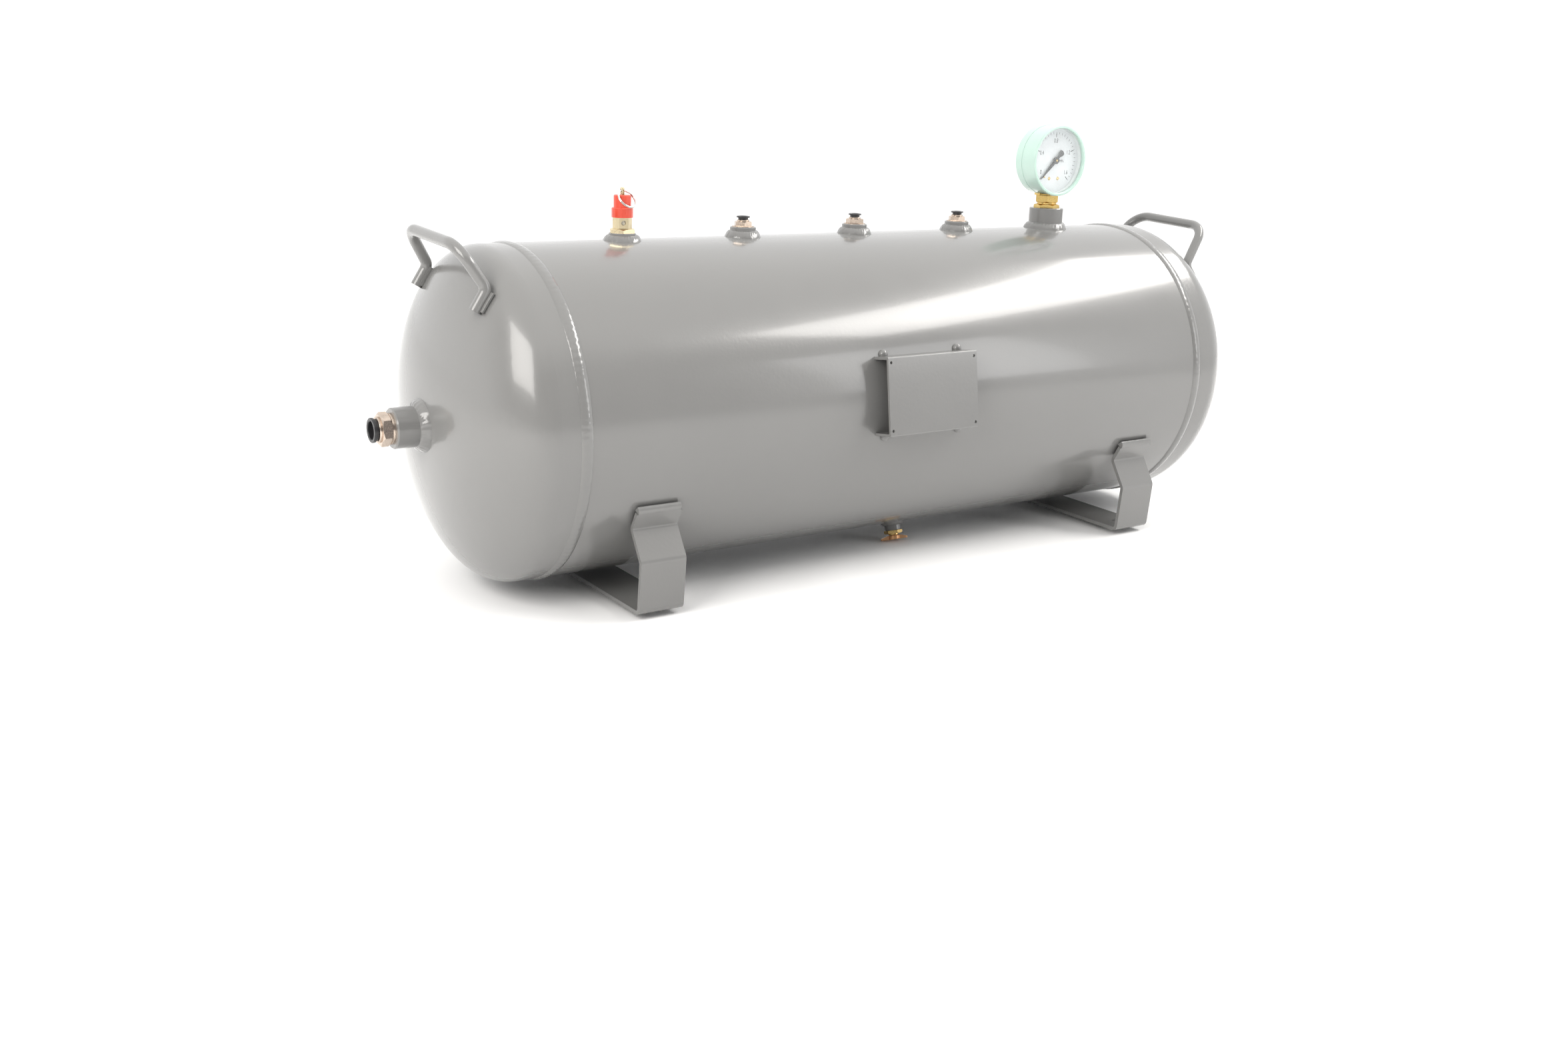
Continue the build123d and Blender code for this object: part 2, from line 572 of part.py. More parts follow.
# ================================================================ safety valve
V = at(X_VALVE)
VENT_DEG = 18.0            # the vent bore leaves the front this far round towards the left
V_FLATS = degrees(atan2(-cos(radians(VENT_DEG)), -sin(radians(VENT_DEG))))   # direction of the vent in plan
LIFT = 2.5
with BuildPart() as valve_body:
    add(nut(V, 17.2, VALVE_BOSS_TOP, 128.0, V_FLATS - 4, 0, 1))
    add(nut(V, 12.2, 127.9, 136.1, V_FLATS + 30, 0, 0))
    revolve(outline(V, (0, 117.0), (6.1, 117.0), (6.45, 117.4), (6.45, VALVE_BOSS_TOP + 0.1), (0, VALVE_BOSS_TOP + 0.1)), axis=spin(V))
    revolve(outline(V, (0, 136.0), (5.8, 136.0), (5.8, 138.2), (5.5, 138.5), (0, 138.5)), axis=spin(V))
    revolve(outline(V, (0, 116.9), (2.6, 116.9), (2.6, 128.2), (1.9, 128.9), (1.9, 129.3), (2.2, 129.3), (2.2, 129.0), (4.3, 129.0), (4.3, 138.6), (0, 138.6)), axis=spin(V), mode=Mode.SUBTRACT)
    vent = Plane(origin=(X_VALVE, 0, AXIS_Z + 132.4), x_dir=(0, 0, 1), z_dir=(-sin(radians(VENT_DEG)), -cos(radians(VENT_DEG)), 0))
    with BuildSketch(vent.offset(-10)):
        Circle(1.75)
    extrude(amount=20, mode=Mode.SUBTRACT)
valve_body.part.label = "valve_body"
export_step(valve_body.part, "parts/valve_body.step")

with BuildPart() as valve_cap:
    with BuildSketch(Plane(origin=(X_VALVE, 0, AXIS_Z + 136.13), x_dir=(1, 0, 0), z_dir=(0, 0, 1))):
        RegularPolygon(7.85, 18, major_radius=True)
    extrude(amount=7.07)
    chamfer(valve_cap.edges().group_by(Axis.Z)[-1], 0.5)
    revolve(outline(V, (0, 143.1), (6.35, 143.1), (6.35, 151.5), (5.65, 152.2), (0, 152.2)), axis=spin(V))
    revolve(outline(V, (0, 136.0), (5.85, 136.0), (5.85, 138.7), (4.6, 138.7), (4.6, 150.2), (1.8, 150.2), (1.8, 152.3), (0, 152.3)), axis=spin(V), mode=Mode.SUBTRACT)
valve_cap.part.label = "valve_cap"
export_step(valve_cap.part, "parts/valve_cap.step")

# moving set: seal disc, poppet, stem
with BuildPart() as valve_seal:
    revolve(outline(V, (0, 129.33), (2.9, 129.33), (2.9, 130.4), (0, 130.4)), axis=spin(V))
valve_seal.part.label = "valve_seal"
export_step(valve_seal.part, "parts/valve_seal.step")

with BuildPart() as valve_poppet:
    revolve(outline(V, (2.93, 129.6), (3.75, 129.6), (3.95, 129.8), (3.95, 134.0), (2.2, 134.0), (2.2, 135.2), (1.45, 135.2), (1.45, 131.4), (0, 131.4), (0, 130.43), (2.93, 130.43)), axis=spin(V))
valve_poppet.part.label = "valve_poppet"
export_step(valve_poppet.part, "parts/valve_poppet.step")

E_RING = Vector(0.309, -0.951, 0)      # side the ring hangs to, in plan
P_RING = Vector(0.951, 0.309, 0)       # line of the ring's hinge
Z_RING = 155.0
with BuildPart() as valve_stem:
    revolve(outline(V, (0, 131.43), (1.42, 131.43), (1.42, 135.25), (1.5, 135.25), (1.5, 156.9), (1.0, 157.4), (0, 157.4)), axis=spin(V))
    tip = Plane(origin=(X_VALVE, 0, AXIS_Z + Z_RING), x_dir=E_RING, z_dir=P_RING)
    with BuildSketch(tip.offset(-4)):
        Circle(0.95)
    extrude(amount=8, mode=Mode.SUBTRACT)
    with BuildSketch(tip.offset(-0.5)):
        with Locations((0, 1.2)):
            Rectangle(4, 4.4)
    extrude(amount=1.0, mode=Mode.SUBTRACT)
valve_stem.part.label = "valve_stem"
export_step(valve_stem.part, "parts/valve_stem.step")

SPRING_Z0, SPRING_Z1 = 134.05, 150.15
with BuildPart() as valve_spring:
    rw, rm = 0.4, 3.1
    with BuildLine(Plane(origin=(X_VALVE, 0, AXIS_Z + SPRING_Z0 + rw))) as coil:
        Helix(pitch=(SPRING_Z1 - SPRING_Z0 - 2 * rw) / 7.5, height=SPRING_Z1 - SPRING_Z0 - 2 * rw, radius=rm)
    with BuildSketch(Plane(origin=coil.line @ 0, z_dir=coil.line % 0)):
        Circle(rw)
    sweep(path=coil.line, is_frenet=True)
    with BuildSketch(Plane.XY.offset(AXIS_Z + SPRING_Z0)):
        with Locations((X_VALVE, 0)):
            Circle(6)
    extrude(amount=SPRING_Z1 - SPRING_Z0, mode=Mode.INTERSECT)
valve_spring.part.label = "valve_spring"
export_step(valve_spring.part, "parts/valve_spring.step")

R_RING = 7.3
HANG = 50.0                # the ring's plane hangs this far below level
d_ring = E_RING * cos(radians(HANG)) - Vector(0, 0, 1) * sin(radians(HANG))
c_ring = Vector(X_VALVE, 0, AXIS_Z + Z_RING) + d_ring * R_RING
with BuildPart() as pull_ring:
    ring_plane = Plane(origin=c_ring, x_dir=d_ring, z_dir=P_RING)
    with BuildSketch(ring_plane):
        with Locations((R_RING, 0)):
            Circle(0.55)
    revolve(axis=Axis(c_ring, P_RING.cross(d_ring)))
pull_ring.part.label = "pull_ring"
export_step(pull_ring.part, "parts/pull_ring.step")

# ================================================================ pressure gauge
G = at(X_GAUGE)
GZ = 176.7
ga = radians(GAUGE_TURN)
# local X = right across the dial, local Y = up, local Z = out of the dial
DIAL = Plane(origin=(X_GAUGE, 0, AXIS_Z + GZ), x_dir=(cos(ga), sin(ga), 0), z_dir=(sin(ga), -cos(ga), 0))


def disc(r_out, w0, w1, r_in=0.0, u=0.0, v=0.0):
    """Solid disc or ring lying parallel to the dial."""
    with BuildPart() as b:
        with BuildSketch(DIAL.offset(w0)):
            with Locations((u, v)):
                Circle(r_out)
                if r_in:
                    Circle(r_in, mode=Mode.SUBTRACT)
        extrude(amount=w1 - w0)
    return b.part


def slab(w0, w1, *pts):
    """Straight-sided plate lying parallel to the dial."""
    with BuildPart() as b:
        with BuildSketch(DIAL.offset(w0)):
            with BuildLine():
                Polyline(*pts, close=True)
            make_face()
        extrude(amount=w1 - w0)
    return b.part


# bushing that takes the gauge thread down from the large boss
with BuildPart() as gauge_bushing:
    add(nut(G, 19.0, GAUGE_BOSS_TOP, 139.6, -103.5, 0, 1))
    revolve(outline(G, (0, 117.0), (8.8, 117.0), (9.25, 117.5), (9.25, GAUGE_BOSS_TOP + 0.1), (0, GAUGE_BOSS_TOP + 0.1)), axis=spin(G))
    revolve(outline(G, (0, 116.9), (3.0, 116.9), (3.0, 126.5), (6.5, 127.5), (6.5, 139.7), (0, 139.7)), axis=spin(G), mode=Mode.SUBTRACT)
gauge_bushing.part.label = "gauge_bushing"
export_step(gauge_bushing.part, "parts/gauge_bushing.step")

with BuildPart() as gauge_seal_washer:
    revolve(outline(G, (6.55, 139.62), (8.0, 139.62), (8.3, 139.9), (8.3, 141.0), (8.0, 141.28), (6.55, 141.28)), axis=spin(G))
gauge_seal_washer.part.label = "gauge_seal_washer"
export_step(gauge_seal_washer.part, "parts/gauge_seal_washer.step")

TUBE_R, TUBE_A0, TUBE_A1 = 20.0, 256.0, -24.0    # mid radius and the two ends of the pressure element
PIV = (14.0 * cos(radians(-60)), 14.0 * sin(radians(-60)))     # sector pivot
TAIL_DEG, TAIL_R = -100.0, 5.0
TAIL = (PIV[0] + TAIL_R * cos(radians(TAIL_DEG)), PIV[1] + TAIL_R * sin(radians(TAIL_DEG)))
TIP = (TUBE_R * cos(radians(TUBE_A1)), TUBE_R * sin(radians(TUBE_A1)))


def element(r_half, w_half, w_mid):
    with BuildPart() as b:
        with BuildSketch(DIAL.offset(w_mid - w_half)):
            with BuildLine():
                ro, ri = TUBE_R + r_half, TUBE_R - r_half
                CenterArc((0, 0), ro, TUBE_A1, TUBE_A0 - TUBE_A1)
                a0, a1 = radians(TUBE_A0), radians(TUBE_A1)
                Line((ro * cos(a0), ro * sin(a0)), (ri * cos(a0), ri * sin(a0)))
                CenterArc((0, 0), ri, TUBE_A1, TUBE_A0 - TUBE_A1)
                Line((ro * cos(a1), ro * sin(a1)), (ri * cos(a1), ri * sin(a1)))
            make_face()
        extrude(amount=2 * w_half)
    return b.part


tube_solid = element(1.3, 3.0, -6.0)
with BuildPart() as gauge_socket:
    add(nut(G, 18.6, 141.3, 147.0, -133.0 - 60, 1, 0))
    revolve(outline(G, (0, 128.0), (6.1, 128.0), (6.4, 128.4), (6.4, 141.4), (0, 141.4)), axis=spin(G))
    add(slab(-9.0, -2.4, (-6.5, 146.9 - GZ), (6.5, 146.9 - GZ), (6.5, -16.5), (-6.5, -16.5)))
    add(tube_solid, mode=Mode.SUBTRACT)
    revolve(outline(G, (0, 127.9), (2.0, 127.9), (2.0, 144.0), (0, 144.0)), axis=spin(G), mode=Mode.SUBTRACT)
    with BuildSketch(DIAL.offset(-6.0)):
        with Locations((0, 143.0 - GZ)):
            Circle(1.1)
    extrude(amount=6.0, mode=Mode.SUBTRACT)
    riser = DIAL.origin + DIAL.z_dir * -6.0 + Vector(0, 0, 143.0 - GZ)
    with BuildSketch(Plane(origin=riser, z_dir=(0, 0, 1))):
        with Locations((0, 0)):
            Circle(0.9)
    extrude(amount=15.0, mode=Mode.SUBTRACT)
gauge_socket.part.label = "gauge_socket"
export_step(gauge_socket.part, "parts/gauge_socket.step")

# the pressure element: flat oval tube bent to a C, with a plate at its free end
with BuildPart() as bourdon_tube:
    add(tube_solid)
    fillet([e for e in bourdon_tube.edges() if e.length > 60], 1.1)
    tu = (cos(radians(TUBE_A1)), sin(radians(TUBE_A1)))
    add(slab(-3.2, -2.2, (TIP[0] - 3.6, TIP[1] - 3.4), (TIP[0] + 4.6, TIP[1] - 1.6), (TIP[0] + 4.0, TIP[1] + 2.0), (TIP[0] - 3.0, TIP[1] + 2.6)))
    with BuildSketch(DIAL.offset(-3.0)):
        with Locations(Location((TIP[0] + 1.6, TIP[1] - 0.4, 0), (0, 0, 12.5))):
            SlotCenterToCenter(4.2, 2.4)
    extrude(amount=3.0, mode=Mode.SUBTRACT)
bourdon_tube.part.label = "bourdon_tube"
export_step(bourdon_tube.part, "parts/bourdon_tube.step")

with BuildPart() as gauge_case:
    add(disc(29.0, -11.8, -10.4))
    add(disc(29.0, -10.4, 9.5, 27.8))
    add(disc(29.25, -4.4, -3.4, 28.4))
    add(slab(-9.15, -2.25, (-6.65, -31), (6.65, -31), (6.65, -20), (-6.65, -20)), mode=Mode.SUBTRACT)
    back_edge = [e for e in gauge_case.edges().filter_by(GeomType.CIRCLE) if abs(e.radius - 29.0) < 0.01 and abs(DIAL.to_local_coords(e.center()).Z + 11.8) < 0.01]
    fillet(back_edge, 1.3)
gauge_case.part.label = "gauge_case"
export_step(gauge_case.part, "parts/gauge_case.step")

with BuildPart() as gauge_bezel:
    add(disc(29.5, 9.55, 13.1, 27.5))
    add(disc(28.5, 11.3, 13.1, 26.9))
    rim = [e for e in gauge_bezel.edges().filter_by(GeomType.CIRCLE) if abs(DIAL.to_local_coords(e.center()).Z - 13.1) < 0.01]
    fillet(rim, 0.9)
gauge_bezel.part.label = "gauge_bezel"
export_step(gauge_bezel.part, "parts/gauge_bezel.step")

with BuildPart() as gauge_lens:
    add(disc(27.4, 9.7, 11.25))
gauge_lens.part.label = "gauge_lens"
export_step(gauge_lens.part, "parts/gauge_lens.step")

with BuildPart() as gauge_spacer:
    add(disc(27.6, 6.05, 9.5, 26.6))
gauge_spacer.part.label = "gauge_spacer"
export_step(gauge_spacer.part, "parts/gauge_spacer.step")

SCREWS = ((-4.95, -15.2), (4.95, -15.2))
with BuildPart() as gauge_dial:
    add(disc(27.5, 5.6, 6.0, 1.4))
    for u, v in SCREWS:
        add(disc(0.95, 5.5, 6.1, 0.0, u, v), mode=Mode.SUBTRACT)
gauge_dial.part.label = "gauge_dial"
export_step(gauge_dial.part, "parts/gauge_dial.step")

# movement frame: two plates joined by pillars, the front one carrying the dial
PLATE = ((-8.6, 5.2), (5.6, 5.2), (11.6, -5.6), (13.4, -11.0), (11.0, -14.4), (6.9, -17.2), (-6.9, -17.2), (-8.6, -12.6))
PILLARS = ((-6.6, 3.4), (-6.6, -10.6), (11.5, -10.0))
with BuildPart() as movement_frame:
    add(slab(-2.1, -1.3, *PLATE))
    add(slab(3.2, 4.0, *PLATE))
    for u, v in PILLARS:
        add(disc(1.1, -1.4, 3.3, 0.0, u, v))
    add(slab(-2.38, -2.0, (-6.5, -24), (3.2, -24), (3.2, -14.0), (-6.5, -11.0)))
    for u, v in SCREWS:
        add(disc(1.9, 3.9, 5.57, 0.0, u, v))
        add(disc(0.85, 2.9, 5.7, 0.0, u, v), mode=Mode.SUBTRACT)
    for u, v, r in ((0, 0, 0.95), (PIV[0], PIV[1], 1.15)):
        add(disc(r, -2.5, 4.5, 0.0, u, v), mode=Mode.SUBTRACT)
movement_frame.part.label = "movement_frame"
export_step(movement_frame.part, "parts/movement_frame.step")


def toothed(r_root, r_tip, half_root, half_tip, angles, w0, w1):
    """Straight-flanked teeth on a round blank, in the dial's own frame about (0, 0)."""
    with BuildPart() as b:
        for a in angles:
            c, s = cos(radians(a)), sin(radians(a))

            def q(r, t):
                return (r * c - t * s, r * s + t * c)
            add(slab(w0, w1, q(r_root - 0.4, half_root), q(r_root - 0.4, -half_root), q(r_tip, -half_tip), q(r_tip, half_tip)))
    return b.part


ZERO = 225.0
# pointer shaft with its ten-leaf pinion
with BuildPart() as pointer_shaft:
    add(disc(1.55, 0.3, 2.4))
    add(toothed(1.55, 2.18, 0.34, 0.16, [300 + 36 * k for k in range(10)], 0.3, 2.4))
    add(disc(0.65, -2.0, 7.34))
pointer_shaft.part.label = "pointer_shaft"
export_step(pointer_shaft.part, "parts/pointer_shaft.step")

zc, zs = cos(radians(ZERO)), sin(radians(ZERO))


def pq(r, t):
    return (r * zc - t * zs, r * zs + t * zc)


with BuildPart() as gauge_pointer:
    add(slab(7.35, 7.85, pq(0, 1.7), pq(0, -1.7), pq(9, -1.15), pq(20.5, -0.4), pq(22.6, 0), pq(20.5, 0.4), pq(9, 1.15)))
    add(slab(7.35, 7.85, pq(0, -1.2), pq(0, 1.2), pq(-5.2, 1.2), pq(-7.4, 2.5), pq(-10.0, 2.5), pq(-10.8, 0), pq(-10.0, -2.5), pq(-7.4, -2.5), pq(-5.2, -1.2)))
    add(disc(2.9, 7.35, 8.6))
    add(disc(0.9, 8.4, 9.0))
gauge_pointer.part.label = "gauge_pointer"
export_step(gauge_pointer.part, "parts/gauge_pointer.step")

# toothed sector: hub, arm, rack of teeth, tail with its rivet
SEC0 = 120.0                # direction from the sector's pivot to the pinion
with BuildPart() as sector_gear:
    def sq(r, a_deg):
        return (PIV[0] + r * cos(radians(a_deg)), PIV[1] + r * sin(radians(a_deg)))
    with BuildSketch(DIAL.offset(0.7)):
        with BuildLine():
            l1 = Line(sq(1.6, 150), sq(11.55, 127))
            a1_ = ThreePointArc(sq(11.55, 127), sq(11.55, 98), sq(11.55, 68))
            l2 = Line(sq(11.55, 68), sq(1.6, 45))
            l3 = Line(sq(1.6, 45), sq(TAIL_R + 1.3, TAIL_DEG + 12))
            l4 = Line(sq(TAIL_R + 1.3, TAIL_DEG + 12), sq(TAIL_R + 1.3, TAIL_DEG - 12))
            l5 = Line(sq(TAIL_R + 1.3, TAIL_DEG - 12), sq(1.6, 150))
        make_face()
    extrude(amount=1.0)
    teeth = []
    for k in range(0, 9):
        a = SEC0 + 3.0 - 6.0 * k
        c, s = cos(radians(a)), sin(radians(a))

        def tq(r, t):
            return (PIV[0] + r * c - t * s, PIV[1] + r * s + t * c)
        add(slab(0.7, 1.7, tq(11.3, 0.34), tq(11.3, -0.34), tq(12.1, -0.17), tq(12.1, 0.17)))
    add(disc(2.0, 0.4, 2.0, 0.0, *PIV))
    add(disc(0.85, -2.0, 3.9, 0.0, *PIV))
    add(disc(1.1, 0.3, 0.8, 0.0, *TAIL))
    add(disc(0.5, -0.85, 0.4, 0.0, *TAIL))
sector_gear.part.label = "sector_gear"
export_step(sector_gear.part, "parts/sector_gear.step")

LINK_TIP = (TIP[0] - 0.3, TIP[1] - 0.85)
with BuildPart() as gauge_link:
    du, dv = LINK_TIP[0] - TAIL[0], LINK_TIP[1] - TAIL[1]
    dl = hypot(du, dv)
    du, dv = du / dl, dv / dl
    add(slab(-0.6, 0.1, (TAIL[0] - dv * 0.8, TAIL[1] + du * 0.8), (TAIL[0] + dv * 0.8, TAIL[1] - du * 0.8),
             (LINK_TIP[0] + dv * 0.8, LINK_TIP[1] - du * 0.8), (LINK_TIP[0] - dv * 0.8, LINK_TIP[1] + du * 0.8)))
    add(disc(1.25, -0.6, 0.1, 0.0, *TAIL))
    add(disc(1.25, -0.6, 0.1, 0.0, *LINK_TIP))
    add(disc(0.7, -0.9, 0.4, 0.0, *TAIL), mode=Mode.SUBTRACT)
    add(disc(0.55, -2.6, -0.5, 0.0, *LINK_TIP))
gauge_link.part.label = "gauge_link"
export_step(gauge_link.part, "parts/gauge_link.step")

with BuildPart() as dial_screws:
    for u, v in SCREWS:
        add(disc(0.8, 4.2, 6.1, 0.0, u, v))
        with BuildSketch(DIAL.offset(6.02)):
            with Locations((u, v)):
                Circle(1.5)
        extrude(amount=0.85, taper=38)
dial_screws.part.label = "dial_screws"
export_step(dial_screws.part, "parts/dial_screws.step")

STOP_R = 18.5
sa = radians(ZERO + 3.7)
with BuildPart() as zero_stop_pin:
    add(disc(0.6, 6.02, 8.2, 0.0, STOP_R * cos(sa), STOP_R * sin(sa)))
zero_stop_pin.part.label = "zero_stop_pin"
export_step(zero_stop_pin.part, "parts/zero_stop_pin.step")

# ================================================================ drain valve
# heights along the drain's own line, measured from the tank axis
D_HEX = (-129.3, -126.65)       # hexagon, seated on the boss face
D_STEM = -130.6                 # underside of the body's neck
W_TOP, W_HUB, W_FOOT = -131.0, 5.0, -134.2
with BuildPart() as drain_body:
    add(nut(DRAIN, 13.3, D_HEX[0], D_HEX[1], 21.0, 1, 0))
    revolve(outline(DRAIN, (0, -113.0), (4.4, -113.0), (4.75, -113.4), (4.75, -126.7), (0, -126.7)), axis=spin(DRAIN))
    revolve(outline(DRAIN, (0, -129.2), (4.2, -129.2), (4.2, D_STEM + 0.3), (3.9, D_STEM), (0, D_STEM)), axis=spin(DRAIN))
    revolve(outline(DRAIN, (0, -112.9), (1.3, -112.9), (1.3, -116.9), (1.6, -117.3), (3.3, -117.3), (3.3, -124.0), (2.6, -124.6), (2.6, -130.7), (0, -130.7)), axis=spin(DRAIN), mode=Mode.SUBTRACT)
drain_body.part.label = "drain_body"
export_step(drain_body.part, "parts/drain_body.step")

with BuildPart() as drain_seat:
    revolve(outline(DRAIN, (1.25, -118.73), (2.6, -118.73), (2.6, -117.9), (2.1, -117.34), (1.25, -117.34)), axis=spin(DRAIN))
drain_seat.part.label = "drain_seat"
export_step(drain_seat.part, "parts/drain_seat.step")

# hollow screw with the wing on its lower end: two tapered blades on a round hub
down = DRAIN.y_dir * -1
FOOT_PLANE = Plane(origin=DRAIN.origin + down * -W_FOOT, x_dir=(1, 0, 0), z_dir=DRAIN.y_dir)
WING_DEG = -20.0
blade_x = (DRAIN.x_dir * cos(radians(WING_DEG)) + FOOT_PLANE.y_dir * sin(radians(WING_DEG)))
BLADE = Plane(origin=DRAIN.origin, x_dir=blade_x, z_dir=blade_x.cross(DRAIN.y_dir))
with BuildPart() as drain_wing:
    with BuildSketch(BLADE):
        with BuildLine():
            Polyline((0, W_FOOT), (11.3, W_FOOT), (11.3, W_FOOT + 1.5), (5.2, W_TOP + 0.1), (-5.2, W_TOP + 0.1), (-11.3, W_FOOT + 1.5), (-11.3, W_FOOT), close=True)
        make_face()
    extrude(amount=1.9, both=True)
    fillet(drain_wing.edges().filter_by(Axis(DRAIN.origin, DRAIN.y_dir)), 1.2)
    revolve(outline(DRAIN, (0, -117.6), (1.2, -117.6), (1.2, -118.76), (2.95, -118.76), (2.95, -120.4), (2.45, -120.6), (2.45, -132.0), (0, -132.0)), axis=spin(DRAIN))
    revolve(outline(DRAIN, (0, W_FOOT), (W_HUB - 0.5, W_FOOT), (W_HUB, W_FOOT + 0.5), (W_HUB, W_TOP - 0.3), (W_HUB - 0.3, W_TOP), (0, W_TOP)), axis=spin(DRAIN))
    revolve(outline(DRAIN, (0, -122.0), (0.9, -122.0), (0.9, -135.0), (0, -135.0)), axis=spin(DRAIN), mode=Mode.SUBTRACT)
    with BuildSketch(Plane(origin=DRAIN.origin + down * 122.6, x_dir=DRAIN.y_dir, z_dir=(1, 0, 0)).offset(-5)):
        Circle(0.8)
    extrude(amount=10.0, mode=Mode.SUBTRACT)
drain_wing.part.label = "drain_wing"
export_step(drain_wing.part, "parts/drain_wing.step")
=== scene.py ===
import math
import random

import bmesh
import bpy
from mathutils import Matrix, Vector, noise


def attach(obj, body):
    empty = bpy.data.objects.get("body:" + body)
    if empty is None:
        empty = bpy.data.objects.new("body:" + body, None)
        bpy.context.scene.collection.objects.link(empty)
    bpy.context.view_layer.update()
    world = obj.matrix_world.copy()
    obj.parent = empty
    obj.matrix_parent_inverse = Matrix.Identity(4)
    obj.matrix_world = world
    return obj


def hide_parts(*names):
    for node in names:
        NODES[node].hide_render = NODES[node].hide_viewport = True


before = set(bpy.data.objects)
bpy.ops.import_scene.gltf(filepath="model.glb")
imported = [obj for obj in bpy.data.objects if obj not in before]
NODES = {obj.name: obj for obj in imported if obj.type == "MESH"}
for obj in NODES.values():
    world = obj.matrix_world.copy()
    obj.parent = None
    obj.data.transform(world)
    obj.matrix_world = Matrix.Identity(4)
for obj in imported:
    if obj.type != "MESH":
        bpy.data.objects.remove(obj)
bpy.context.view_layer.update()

# ------------------------------------------------------------------ sizes shared with the CAD (metres)
MM = 0.001
AXIS_Z = 0.1255
R_TANK = 0.120
X_BOSSES = ((-0.200, 0.010, 0.0043, 0.0039), (-0.0967, 0.010, 0.0041, 0.0047), (0.0082, 0.010, 0.0041, 0.0047), (0.1134, 0.010, 0.0041, 0.0047), (0.2131, 0.0145, 0.0045, 0.0048))
X_GIRTH = 0.2883
DROP = 0.0034            # the inlet's line sits below the tank axis
GAUGE = Vector((0.2131, 0.0, AXIS_Z + 0.1767))
TURN = 0.0
DU = Vector((math.cos(TURN), math.sin(TURN), 0.0))      # right across the dial
DV = Vector((0.0, 0.0, 1.0))                            # up the dial
DW = Vector((math.sin(TURN), -math.cos(TURN), 0.0))     # out of the dial


